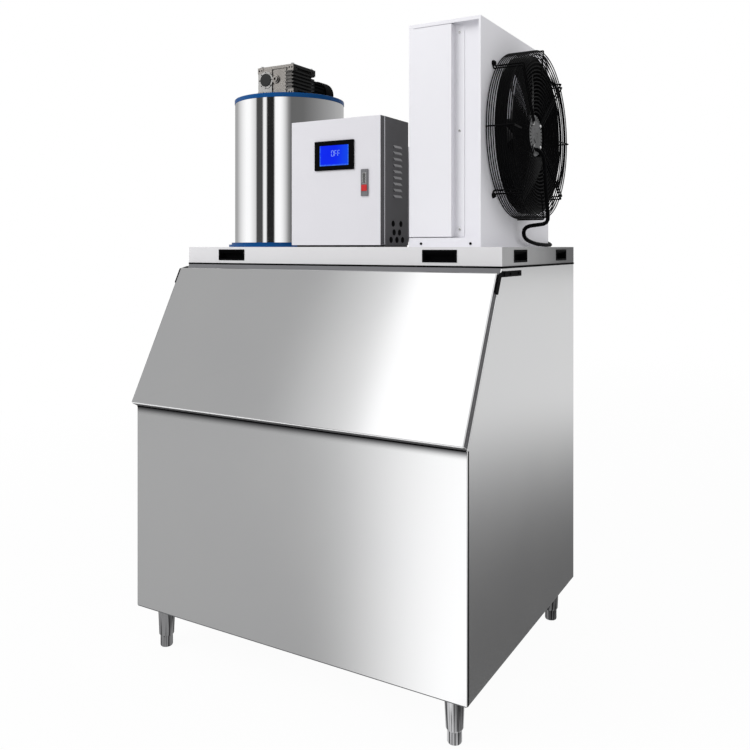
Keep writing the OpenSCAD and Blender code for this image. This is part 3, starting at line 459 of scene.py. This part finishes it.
lead.bevel_resolution = 4
lead.use_fill_caps = True
spline = lead.splines.new("POLY")
spline.points.add(len(route) - 1)
for point, spot in zip(spline.points, route):
    point.co = (*spot, 1.0)
cable = bpy.data.objects.new("fan_lead", lead)
bpy.context.scene.collection.objects.link(cable)
settle(cable, "fan_lead", "black_plastic", "machine", "fan_cable")


# Workshop moves
def clear():
    bpy.ops.object.select_all(action="DESELECT")


def fixed():
    """The active piece with its place, turn and size moved into its mesh."""
    bpy.ops.object.transform_apply(location=True, rotation=True, scale=True)
    return bpy.context.object


def taken(piece):
    clear()
    piece.select_set(True)
    bpy.context.view_layer.objects.active = piece
    return piece


def block(low, high):
    """A box between two corners, ready to be shaped."""
    clear()
    middle = [(a + b) / 2 for a, b in zip(low, high)]
    bpy.ops.mesh.primitive_cube_add(size=1.0, location=middle)
    bpy.context.object.scale = [b - a for a, b in zip(low, high)]
    return fixed()


def rod(radius, length, sides):
    """A round bar that stands on the origin, ready to be shaped."""
    clear()
    bpy.ops.mesh.primitive_cylinder_add(
        vertices=sides, radius=radius, depth=length, location=(0.0, 0.0, length / 2))
    return fixed()


def everything(middle, way):
    return True


def aligned(axis):
    """A test for edges along one axis, or for faces across it."""
    return lambda middle, way: abs(way[axis]) > 0.9


def topmost(height):
    """A test for what lies at the top of a shape of this height."""
    return lambda middle, way: middle.z > height - NEAR


def pick(piece, kind, test):
    """Edit mode, with the faces or edges selected whose middle and direction pass the test."""
    taken(piece)
    bpy.ops.object.mode_set(mode="EDIT")
    bpy.ops.mesh.select_mode(type=kind)
    bpy.ops.mesh.select_all(action="DESELECT")
    bpy.ops.object.mode_set(mode="OBJECT")
    mesh = piece.data
    if kind == "FACE":
        for face in mesh.polygons:
            face.select = test(face.center, face.normal)
    else:
        for edge in mesh.edges:
            first = mesh.vertices[edge.vertices[0]].co
            last = mesh.vertices[edge.vertices[1]].co
            edge.select = test((first + last) / 2, (last - first).normalized())
    bpy.ops.object.mode_set(mode="EDIT")


def done():
    bpy.ops.object.mode_set(mode="OBJECT")
    return bpy.context.object


def rounded_edges(piece, test, width, steps=3):
    pick(piece, "EDGE", test)
    bpy.ops.mesh.bevel(offset=width, segments=steps, affect="EDGES")
    return done()


def dished(piece, test, margin, depth):
    """Insets the faces that pass the test, and sinks them."""
    pick(piece, "FACE", test)
    bpy.ops.mesh.inset(thickness=margin)
    bpy.ops.transform.translate(value=(0.0, 0.0, -depth))
    return done()


def smooth(piece, angle=35.0):
    taken(piece)
    bpy.ops.object.shade_smooth_by_angle(angle=math.radians(angle))
    even = piece.modifiers.new("even", "WEIGHTED_NORMAL")
    even.weight = 100
    even.keep_sharp = True
    bpy.ops.object.modifier_apply(modifier="even")
    return piece


def walled(piece, thickness):
    """Gives an open sheet its thickness, inwards."""
    taken(piece)
    wall = piece.modifiers.new("wall", "SOLIDIFY")
    wall.thickness = thickness
    wall.offset = -1.0
    bpy.ops.object.modifier_apply(modifier="wall")
    return piece


def joined(pieces):
    clear()
    for piece in pieces:
        piece.select_set(True)
    bpy.context.view_layer.objects.active = pieces[0]
    bpy.ops.object.join()
    return bpy.context.object


def moved(piece, matrix):
    """Moves a finished shape to its place and keeps the place in its mesh."""
    taken(piece)
    piece.matrix_world = matrix
    return fixed()


def twin(piece, matrix):
    """A copy with a mesh of its own, put in its place."""
    taken(piece)
    bpy.ops.object.duplicate(linked=False)
    return moved(bpy.context.object, matrix)


def facing(spot, aim, roll=0.0):
    """The place of a shape that stands on a spot and points along a direction."""
    turn = Vector(aim).to_track_quat("Z", "Y").to_matrix().to_4x4()
    return Matrix.Translation(spot) @ turn @ Matrix.Rotation(roll, 4, "Z")


def circle(radius, angles):
    """Points round a circle, from their angles in degrees."""
    turns = [math.radians(angle) for angle in angles]
    return [(radius * math.cos(turn), radius * math.sin(turn)) for turn in turns]


def cut(piece, tool):
    """Takes the tool's shape out of a piece and throws the tool away."""
    taken(piece)
    saw = piece.modifiers.new("saw", "BOOLEAN")
    saw.operation = "DIFFERENCE"
    saw.solver = "EXACT"
    saw.object = tool
    bpy.ops.object.modifier_apply(modifier="saw")
    bpy.data.objects.remove(tool)
    return piece


def outline(piece):
    """A test for the outer edges of a box-shaped piece, apart from those at its back."""
    spots = [point.co for point in piece.data.vertices]
    low = [min(spot[axis] for spot in spots) + NEAR for axis in (X, Y, Z)]
    high = [max(spot[axis] for spot in spots) - NEAR for axis in (X, Y, Z)]

    def outer(middle, way):
        beside = middle.x < low[X] or middle.x > high[X]
        before = middle.y < low[Y]
        ends = middle.z < low[Z] or middle.z > high[Z]
        return beside + before + ends > 1

    return outer


def softened(node, width, boxed):
    """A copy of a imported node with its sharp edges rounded, as folded sheet and castings have them."""
    steps = 2
    piece = bpy.data.objects.new(node + "_soft", frame["nodes"][node].data.copy())
    bpy.context.scene.collection.objects.link(piece)
    taken(piece)
    bpy.ops.object.mode_set(mode="EDIT")
    bpy.ops.mesh.select_all(action="SELECT")
    bpy.ops.mesh.remove_doubles(threshold=0.00001)
    bpy.ops.mesh.dissolve_limited(angle_limit=math.radians(0.5))
    bpy.ops.object.mode_set(mode="OBJECT")
    if boxed:
        rounded_edges(piece, outline(piece), width, steps)
    else:
        edge = piece.modifiers.new("edge", "BEVEL")
        edge.width = width
        edge.segments = steps
        edge.limit_method = "ANGLE"
        edge.angle_limit = math.radians(40.0)
        edge.use_clamp_overlap = True
        bpy.ops.object.modifier_apply(modifier="edge")
    return smooth(piece, 32.0)


# Bin skin: one folded sheet with a slope and the door's opening
def bin_skin():
    skin = block((-SIDE, FRONT, BIN_LOW), (SIDE, BACK, BIN_TOP))
    pick(skin, "FACE", everything)
    bpy.ops.mesh.bisect(
        plane_co=(0.0, FRONT, SLOPE_LOW), plane_no=(0.0, -math.cos(SLOPE), math.sin(SLOPE)),
        clear_outer=True, use_fill=True)
    done()
    pick(skin, "FACE", lambda middle, way: way.y < -0.5 and way.z > 0.2)
    bpy.ops.mesh.inset(thickness=OPENING_EDGE)
    bpy.ops.transform.resize(value=(OPENING_WIDE / (2 * SIDE - 2 * OPENING_EDGE), 1.0, 1.0))
    bpy.ops.mesh.delete(type="FACE")
    done()
    rounded_edges(skin, on_rim, 0.003)
    walled(skin, SHEET)
    return smooth(skin)


def on_rim(middle, way):
    """Outer folds of the bin, apart from the door's opening."""
    near = 0.001
    ends = middle.z > BIN_TOP - near or middle.z < BIN_LOW + near
    sides = abs(middle.x) > SIDE - near or middle.y > BACK - near
    return sides or ends or abs(middle.y - FRONT) < near


# Door: a folded sheet over the foam, in the frame of the slope
def on_slope():
    return Matrix.Translation((0.0, FRONT, SLOPE_LOW)) @ Matrix.Rotation(math.pi / 2 - SLOPE, 4, "X")


def door_panel():
    fold = 0.004
    panel = block((-SIDE, 0.0, DOOR_GAP), (SIDE, DOOR_LONG, DOOR_DEEP))
    pick(panel, "FACE", lambda middle, way: way.z < -0.9)
    bpy.ops.mesh.delete(type="FACE")
    done()
    rounded_edges(panel, aligned(Z), fold)
    rounded_edges(panel, topmost(DOOR_DEEP), fold, 4)
    walled(panel, SHEET)
    return moved(smooth(panel), on_slope())


settle(bin_skin(), "bin_skin", "polished_steel", "machine", "bin_shell")
settle(door_panel(), "door_panel", "polished_steel", "bin_door", "door_skin")

# Folded and cast parts with their edges rounded, and those where only the outer edges may be
for node, width, body in (
        ("base_tray", 0.0014, "machine"),
        ("control_case", 0.0006, "machine"),
        ("control_door", 0.0014, "control_door"),
        ("condenser_case", 0.0007, "machine"),
        ("condenser_cover", 0.0010, "machine"),
        ("display_frame", 0.0016, "control_door"),
        ("latch_body", 0.0012, "control_door"),
        ("latch_paddle", 0.0014, "control_door"),
        ("latch_button", 0.0014, "latch_button"),
        ("gearbox", 0.0012, "machine"),
        ("worm_end_cap", 0.0010, "machine"),
        ("drum_base", 0.0015, "machine"),
        ("drum_top_cover", 0.0020, "machine"),
        ("front_handle_cups", 0.0010, "machine"),
        ("side_handle_cups", 0.0010, "machine"),
        ("bin_hinge_leaves", 0.0008, "machine"),
        ("door_hinge_leaves", 0.0008, "bin_door"),
        ("fan_motor", 0.0010, "machine")):
    boxed = node in ("control_door", "latch_body")
    settle(softened(node, width, boxed), node + "_soft", SLOTS[node], body, node)


# Faces with a finish of their own, over the first finish of their piece; several of them are painted
# light, painted shade and painted highlight
def faced(piece, finish, test):
    piece.data.materials.append(finish)
    pick(piece, "FACE", test)
    piece.active_material_index = len(piece.data.materials) - 1
    bpy.ops.object.material_slot_assign()
    done()


def on_bin_front(middle, way):
    return way.y < -0.9 and middle.y < FRONT + 0.0005


def lip_highlight_faces(middle, way):
    return 0.2 < way.dot(DOWN_SLOPE) < 0.9 and way.y < -0.5


def under_door(middle, way):
    return way.dot(DOWN_SLOPE) >= 0.9


def on_tray_side(middle, way):
    return way.x > 0.5 and middle.x > SIDE - 0.01


def louvre_tops_highlight(middle, way):
    return middle.x > BOX_RIGHT + 0.0005 and way.x > 0.2 and way.z > 0.2


def on_ribs(middle, way):
    return way.y < -0.5 and middle.x > -0.333 and 1.922 < middle.z < 1.999


def on_boss(middle, way):
    return way.y < -0.7 and math.hypot(middle.x - CAP_X, middle.z - CAP_Z) < 0.033


for name, finish, test in (
        # Painted shadow on the bin's front, just below the door's lower edge
        ("bin_skin",
         sheet_steel("front_steel", 0.80, 0.20, 0.0010, 0.05, BRUSHED, SLOPE_LOW), on_bin_front),
        ("door_panel", sheet_steel("door_steel", 0.80, 0.09, 0.0006, 0.03, BRUSHED), everything),
        # Painted highlight: white paint on the rounded lower edge of the steel door
        ("door_panel", painted("door_lip", (0.88, 0.88, 0.89), 0.3, 0.02, 0.01), lip_highlight_faces),
        # Painted shade: dark paint on the steel door's downward face
        ("door_panel", painted("door_underside_painted_shade", (0.11, 0.11, 0.113), 0.5, 0.02, 0.02, 0.1), under_door),
        ("fan_motor_soft", cast_metal("motor_casting", (0.15, 0.152, 0.155), 0.34, 0.3), everything),
        ("base_tray_soft", painted("tray_front", (0.72, 0.715, 0.73), 0.36, 0.05, 0.012),
         lambda middle, way: way.y < -0.5),
        # Painted shade on the tray's right side
        ("base_tray_soft", tray_side_painted_shade("tray_side"), on_tray_side),
        # Painted shade: the control door's right-facing sides take the dark paint, as a side in shade
        ("control_door_soft", FINISHES["dark_paint"], lambda middle, way: way.x > 0.6),
        # Painted highlight: the louvre hoods' upper outer faces are painted lighter than the dark case
        ("control_case_soft", painted("louvre_painted_highlight", (0.34, 0.335, 0.35), 0.4, 0.05, 0.02), louvre_tops_highlight),
        # Partly a machined face and partly painted light: the gearbox's front faces are a far lighter
        # copy of its cast metal
        ("gearbox_soft", cast_metal("milled_front_painted_light", (0.62, 0.585, 0.55), 0.28, 0.25),
         lambda middle, way: way.y < -0.7),
        # Painted shade: the ribbed part of the front is darkened for the shade between the ribs
        ("gearbox_soft", cast_metal("rib_painted_shade", (0.26, 0.25, 0.24), 0.34, 0.3), on_ribs),
        # Painted shade: the gearbox's right-facing sides are a nearly black copy of its cast metal
        ("gearbox_soft", cast_metal("side_painted_shade", (0.016, 0.016, 0.016), 0.36, 0.3),
         lambda middle, way: way.x > 0.5),
        ("gearbox_soft", cast_metal("boss_metal", (0.88, 0.87, 0.85), 0.22, 0.05), on_boss),
        ("worm_end_cap_soft", moulded("cap_plastic", (0.028, 0.029, 0.028), 0.5, 0.1, 0.2), everything)):
    faced(bpy.data.objects[name], finish, test)


# Fasteners, each kind modelled once and copied
def cross_screw():
    height = 0.0024
    arm_long = 0.0026
    arm_wide = 0.0005
    head = rod(0.0042, height, 28)
    rounded_edges(head, topmost(height), 0.0014)
    for x, y in ((arm_long, arm_wide), (arm_wide, arm_long)):
        cut(head, block((-x, -y, height / 2), (x, y, 0.0040)))
    return smooth(head)


def hex_bolt():
    washer_height = 0.0012
    head_height = 0.0056
    washer = rod(0.0085, washer_height, 32)
    rounded_edges(washer, topmost(washer_height), 0.0004, 2)
    head = rod(0.0064, head_height, 6)
    rounded_edges(head, topmost(head_height), 0.0007, 2)
    dished(head, lambda middle, way: way.z > 0.9, 0.0009, 0.0003)
    return smooth(joined([head, washer]))


def grommet():
    """A rubber plug with a thin skin that a cable is pushed through."""
    height = 0.0014
    plug = rod(0.0098, height, 36)
    rounded_edges(plug, topmost(height), 0.0005, 2)
    dished(plug, lambda middle, way: way.z > 0.9 and middle.z > height - NEAR, 0.0020, 0.0008)
    return smooth(plug)


def fastened(kind, name, slot, spots, aim, size=1.0):
    """Copies of one fastener, set on their spots, each turned further, and joined as one piece."""
    first_roll = 0.35
    roll_step = 0.9
    master = kind()
    copies = []
    for step, spot in enumerate(spots):
        place = facing(spot, aim, first_roll + roll_step * step)
        copies.append(twin(master, place @ Matrix.Scale(size, 4)))
    bpy.data.objects.remove(master)
    return settle(joined(copies), name, slot, "machine")


fastened(cross_screw, "cover_screws", "bright_metal",
         [(STRIP_X, STRIP_FRONT, DECK + z) for z in (0.658, 0.356, 0.054)], FORWARDS)
fastened(hex_bolt, "rail_screws", "black_steel",
         [(x, RAIL_FRONT, DECK + 0.010) for x in (0.312, 0.478)], FORWARDS, 0.7)
fastened(hex_bolt, "guard_bolts", "black_steel",
         [(FAN_FACE + GUARD_FOOT, FAN_Y + y, FAN_Z + z) for y, z in circle(GUARD_RADIUS, FOUR_CORNERS)],
         RIGHT)
fastened(cross_screw, "motor_screws", "bright_metal",
         [(FAN_FACE + MOTOR_FACE, FAN_Y + y, FAN_Z + z) for y, z in circle(MOTOR_RADIUS, FOUR_CORNERS)],
         RIGHT, 1.05)
fastened(hex_bolt, "gearbox_bolts", "machine_steel",
         [(GEAR_X + x, DRUM_Y + y, GEAR_TOP) for x in (-0.070, 0.070) for y in (-0.059, 0.059)], UP)
fastened(grommet, "cable_grommets", "seal_rubber",
         [(BOX_RIGHT, BOX_FRONT + y / 1000, BOX_LOW + z / 1000) for y, z in (
             (81, 69), (133, 69), (87, 41), (124, 41), (67, 17), (106, 17), (145, 17))], RIGHT)
fastened(hex_bolt, "cap_bolts", "black_steel",
         [(CAP_X + x, CAP_FRONT, CAP_Z + z) for x, z in circle(0.0290, EIGHT_ROUND)], FORWARDS, 0.26)
for side, name in ((-1.0, "hinge_screws_left"), (1.0, "hinge_screws_right")):
    fastened(cross_screw, name, "black_steel",
             [(side * HINGE_SIDE, HINGE_Y + y, HINGE_Z) for y in (0.055, 0.125)], (side, 0.0, 0.0))


# Thin lines: seals and seams, dark strips as painted shade, and a bright strip as painted highlight
def door_trim():
    """Two dark strips down each side of the door as painted shade on its side edges, with the steel
    between them.
    """
    strips = []
    for side in (-1.0, 1.0):
        edge = sorted((side * (SIDE - 0.0005), side * (SIDE + 0.0007)))
        for low, high in ((0.0060, 0.0150), (0.0180, 0.0285)):
            strip = block((edge[0], 0.0045, low), (edge[1], 0.4985, high))
            strips.append(rounded_edges(strip, aligned(Y), 0.0003, 2))
    return moved(smooth(joined(strips)), on_slope())


def top_flap():
    """Dark strip on the slope, in the gap between the door and the tray, as painted shade."""
    top = 0.0014
    flap = block((-SIDE + 0.004, 0.5045, 0.0003), (SIDE - 0.004, 0.5305, top))
    rounded_edges(flap, topmost(top), 0.0004, 2)
    return moved(smooth(flap), on_slope())


def case_pad():
    """Rubber pad that closes the gap between the control case and the tray."""
    pad = block((-0.143, -0.1880, DECK + 0.0003), (0.192, -0.0320, DECK + 0.0056))
    return smooth(rounded_edges(pad, everything, 0.001, 2))


def case_rim():
    """Bright strip along the control case's front edge, behind its door, as a painted highlight."""
    rim = block((BOX_RIGHT - 0.0005, -0.1894, BOX_LOW + 0.002), (BOX_RIGHT + 0.0012, -0.1870, 1.757))
    return smooth(rounded_edges(rim, everything, 0.0004, 2))


def rail_seal():
    """Dark strip between the condenser's bottom rail and the tray, as a painted shadow line."""
    seal = block((RAIL_LEFT, -0.1631, DECK + 0.0002), (FAN_FACE - 0.002, -0.1500, DECK + 0.0022))
    return smooth(rounded_edges(seal, everything, 0.0004, 2))


def corner_seams():
    """Dark joints where the front sheet is folded round the bin's sides."""
    seams = []
    for side in (-1.0, 1.0):
        edge = sorted((side * (SIDE - 0.001), side * (SIDE + 0.0003)))
        low = (edge[0], FRONT + 0.0024, BIN_LOW + 0.002)
        high = (edge[1], FRONT + 0.0090, SLOPE_LOW - 0.001)
        seams.append(rounded_edges(block(low, high), aligned(Z), 0.0002, 1))
    return smooth(joined(seams))


def bin_hem():
    """Dark line along the bottom of the bin's front, at its folded hem, as a painted shadow."""
    half = 0.0003
    low = (-SIDE + 0.004, FRONT - half, BIN_LOW - half)
    high = (SIDE - 0.004, FRONT + 0.004, BIN_LOW + half)
    return smooth(rounded_edges(block(low, high), aligned(X), 0.0002, 1))


def tray_bead():
    """Black seal round the machine, under the tray."""
    out = 0.0015
    low = (-SIDE - out, TRAY_FRONT - out, TRAY_LOW - 0.005)
    high = (SIDE + out, BACK + out, TRAY_LOW + 0.001)
    bead = block(low, high)
    pick(bead, "FACE", aligned(Z))
    bpy.ops.mesh.delete(type="ONLY_FACE")
    done()
    rounded_edges(bead, aligned(Z), 0.003)
    return smooth(walled(bead, 0.0026))


def door_bead():
    """Black seal along the door's lower edge."""
    bead = block((-SIDE + 0.006, -0.0035, 0.0006), (SIDE - 0.006, 0.006, DOOR_GAP))
    return moved(smooth(rounded_edges(bead, aligned(X), 0.0018)), on_slope())


settle(door_trim(), "door_trim", "dark_paint", "bin_door")
settle(top_flap(), "top_flap", "latch_grey", "machine")
settle(case_pad(), "case_pad", "seal_rubber", "machine")
settle(case_rim(), "case_rim", "white_paint", "machine")
settle(rail_seal(), "rail_seal", "seal_rubber", "machine")
settle(corner_seams(), "corner_seams", "seal_rubber", "machine")
settle(bin_hem(), "bin_hem", "latch_grey", "machine")
settle(tray_bead(), "tray_bead", "seal_rubber", "machine")
settle(door_bead(), "door_bead", "seal_rubber", "bin_door")

# Display: the word OFF in lit bars. Each bar is upright or not, and steps across and down
BARS = {
    "top": (0, 1, 0), "middle": (0, 1, 1), "low": (0, 1, 2), "left_up": (1, 0, 0), "right_up": (1, 1, 0),
    "left_low": (1, 0, 1), "right_low": (1, 1, 1)}
LETTERS = (
    ("top", "low", "left_up", "right_up", "left_low", "right_low"),
    ("top", "middle", "left_up", "left_low"),
    ("top", "middle", "left_up", "left_low"))


def lit_word():
    wide = 0.0080
    tall = 0.0180
    space = 0.0040
    thin = 0.0006
    gap = 0.0008
    front = -0.2182
    back = -0.21765
    top = 1.6563
    pieces = []
    for place, letter in enumerate(LETTERS):
        left = 0.0143 + place * (wide + space)
        for bar in letter:
            upright, across, down = BARS[bar]
            if upright:
                x = left + across * wide
                z = top - (down + 0.5) * tall / 2
                low = (x - thin, front, z - tall / 4 + gap)
                high = (x + thin, back, z + tall / 4 - gap)
            else:
                z = top - down * tall / 2
                low = (left + gap, front, z - thin)
                high = (left + wide - gap, back, z + thin)
            pieces.append(rounded_edges(block(low, high), aligned(Y), 0.0004, 2))
    return joined(pieces)


word = settle(lit_word(), "screen_word", "screen_glass", "control_door")
word.data.materials[0] = lit_bars("lit_bars")


# Fan throat: a black ring that lines the collar of the case and ends in a rolled lip
def fan_throat():
    clear()
    bpy.ops.mesh.primitive_circle_add(
        vertices=96, radius=0.2545, location=(0.0, 0.0, -0.041), fill_type="NOTHING")
    ring = fixed()
    pick(ring, "EDGE", everything)
    for step, grow in ((0.066, 1.0), (0.035, 1.0), (0.004, 1.003), (0.002, 1.006)):
        bpy.ops.mesh.extrude_region_move(TRANSFORM_OT_translate={"value": (0.0, 0.0, step)})
        bpy.ops.transform.resize(value=(grow, grow, 1.0))
    bpy.ops.mesh.select_all(action="SELECT")
    bpy.ops.mesh.normals_make_consistent(inside=False)
    done()
    walled(ring, 0.0012)
    return moved(smooth(ring), facing((FAN_FACE, FAN_Y, FAN_Z), RIGHT))


def fin_gaps():
    """Black blocks between the cooling fins on the fan motor's face, as painted shade in the gaps."""
    count = 30
    pitch = 360 / count
    half = 0.0016
    height = 0.0006
    gap = block((0.0475, -half, 0.0), (0.0608, half, height))
    rounded_edges(gap, topmost(height), 0.0002, 2)
    turns = [math.radians(pitch * step + pitch / 2) for step in range(count)]
    gaps = [twin(gap, Matrix.Rotation(turn, 4, "Z")) for turn in turns]
    bpy.data.objects.remove(gap)
    return moved(smooth(joined(gaps)), facing((FAN_FACE + FIN_FACE, FAN_Y, FAN_Z), RIGHT))


settle(fan_throat(), "fan_throat", "black_plastic", "machine")
settle(fin_gaps(), "fin_gaps", "black_plastic", "machine")


# Coil: thin fins between two end plates
def coil_fins():
    pitch = 0.004
    plate_thick = 0.0018
    fin = block((0.2735, -0.1285, DECK + 0.004), (0.3245, -0.1281, 2.0140))
    rounded_edges(fin, aligned(Z), 0.00015, 1)
    row = fin.modifiers.new("row", "ARRAY")
    row.count = 146
    row.use_relative_offset = False
    row.use_constant_offset = True
    row.constant_offset_displace = (0.0, pitch, 0.0)
    taken(fin)
    bpy.ops.object.modifier_apply(modifier="row")
    plates = [fin]
    for y in (-0.1305, 0.4515):
        plate = block((0.2730, y, DECK + 0.0016), (0.3250, y + plate_thick, 2.0160))
        plates.append(rounded_edges(plate, everything, 0.0005, 2))
    return joined(plates)


settle(coil_fins(), "coil_fins", "fin_aluminium", "machine", "condenser_coil")

# The polished drum mirrors the room and not the machines beside it
for piece in bpy.data.objects:
    corners = [piece.matrix_world @ Vector(corner) for corner in piece.bound_box]
    beside = min(corner.x for corner in corners) > DRUM_X + 0.2
    on_deck = min(corner.z for corner in corners) > DECK - 0.01
    if piece.type in ("MESH", "CURVE") and beside and on_deck:
        piece.visible_glossy = False


# Studio: pale floor, soft lamps and a bright room whose bands show in reflections only
def soft_lamp(name, spot, aim, size, power):
    lamp = bpy.data.lights.new(name, "AREA")
    lamp.shape = "SQUARE"
    lamp.size = size
    lamp.energy = power
    holder = bpy.data.objects.new(name, lamp)
    holder.location = spot
    holder.rotation_euler = (Vector(aim) - Vector(spot)).to_track_quat("-Z", "Y").to_euler()
    holder.visible_glossy = False
    bpy.context.scene.collection.objects.link(holder)


# Fades over the floor, each from and to a place and from and to a brightness
FRONT_FADE = (24.0, 35.6, 1.42, 0.395)
SIDE_FADE = (0.813, 3.13, 0.081, 0.815)
WHITE_FADE = (1.2, 4.5, 0.96, 1.0)
FLOOR_STRETCH = (1.0, 0.515, 1.0)


def floor_paint(name):
    """White to the camera, plain paint to the other light, and brightness by place in reflections."""
    made = started(name)
    across = made.along("X")
    bearing = made.bearing(MIRRORED_EYE[0] - across, MIRRORED_EYE[1] - made.along("Y"))
    reach = made.node(
        "VectorMath", {"operation": "LENGTH"}, {0: made.stretched(FLOOR_STRETCH)}, out="Value")
    in_front = made.ease(bearing, *FRONT_FADE)
    in_side = made.ease(reach, *SIDE_FADE)
    beside = made.ease(across, 0.45, 0.7)
    mirrored = in_front * (1.0 - beside) + in_side * beside
    direct = made.ray("Camera") + made.ray("Transmission")
    glossy = made.ray("Glossy")
    white = made.ease(reach, *WHITE_FADE)
    paint = made.node("BsdfDiffuse", {}, {"Color": grey(0.86)})
    glow = made.node("Emission", {}, {"Color": grey(1.0), "Strength": direct + glossy * mirrored})
    share = made.node("MixShader", {}, {0: direct * white + glossy * 0.85, 1: paint, 2: glow})
    made.node("OutputMaterial", {}, {"Surface": share})
    return made.owner


# Brightness of the room by heading in degrees: near the horizon, and higher up where the door looks
BANDS = [
    (-180, 0.52), (-150, 0.48), (-125, 0.40), (-106, 0.44), (-89, 0.80), (-77, 1.03), (-66, 1.18),
    (-56, 1.18), (-47.5, 1.00), (-38.5, 0.77), (-36, 0.07), (-22.5, 0.08), (-19.5, 1.04), (-13.8, 1.04),
    (-11.2, 0.02), (3.2, 0.02), (6, 1.15), (15, 1.18), (21, 1.04), (27.5, 0.72), (33.5, 0.31), (39, 0.15),
    (64, 0.16), (88, 0.24), (113, 0.33), (150, 0.445), (180, 0.50)]
DOOR_BANDS = [
    (-180, 0.46), (-47.2, 0.46), (-39.6, 0.90), (-38.4, 1.36), (-28, 1.36), (-8, 0.80), (20, 0.60),
    (50, 0.80), (75, 1.30), (115, 1.30), (160, 0.60), (180, 0.46)]
DOOR_HEIGHT = 0.62
DOOR_SKEW = 26.0
PLAIN_LIGHT = 0.62


def ring_light(made, stops, way):
    """Brightness of the room round the horizon, from its stops in degrees."""
    tones = [((turned + 180) / 360, grey(tone)) for turned, tone in stops]
    return made.node("ValToRGB", {"stops": tones}, {0: (way + 180.0) / 360.0})


def lit_room(name):
    made = Finish(bpy.data.worlds.new(name))
    heading = made.node("TexCoord", out="Generated")
    height = made.along("Z", heading)
    turn = made.bearing(made.along("X", heading), 0.0 - made.along("Y", heading))
    low_ring = ring_light(made, BANDS, turn)
    high_ring = ring_light(made, DOOR_BANDS, turn + (height - DOOR_HEIGHT) * DOOR_SKEW)
    above = made.ease(height, 0.22, 0.40)
    direct = made.ray("Camera") + made.ray("Transmission")
    glossy = made.ray("Glossy")
    plain = (1.0 - direct - glossy) * PLAIN_LIGHT
    level = direct + glossy * (high_ring * above + low_ring * (1.0 - above)) + plain
    air = made.node("Background", {}, {"Color": grey(1.0), "Strength": level})
    made.node("OutputWorld", {}, {"Surface": air})
    return made.owner


soft_lamp("key_lamp", (-2.2, -4.2, 4.2), (0.0, 0.0, 1.2), 3.2, 150.0)
soft_lamp("fill_lamp", (4.0, 1.6, 3.2), (0.4, 0.1, 1.7), 2.4, 24.0)
clear()
bpy.ops.mesh.primitive_plane_add(size=80.0, location=(0.0, 0.0, 0.0))
floor = bpy.context.object
floor.name = "floor"
floor.data.materials.append(floor_paint("floor_paint"))
bpy.context.scene.world = lit_room("room")
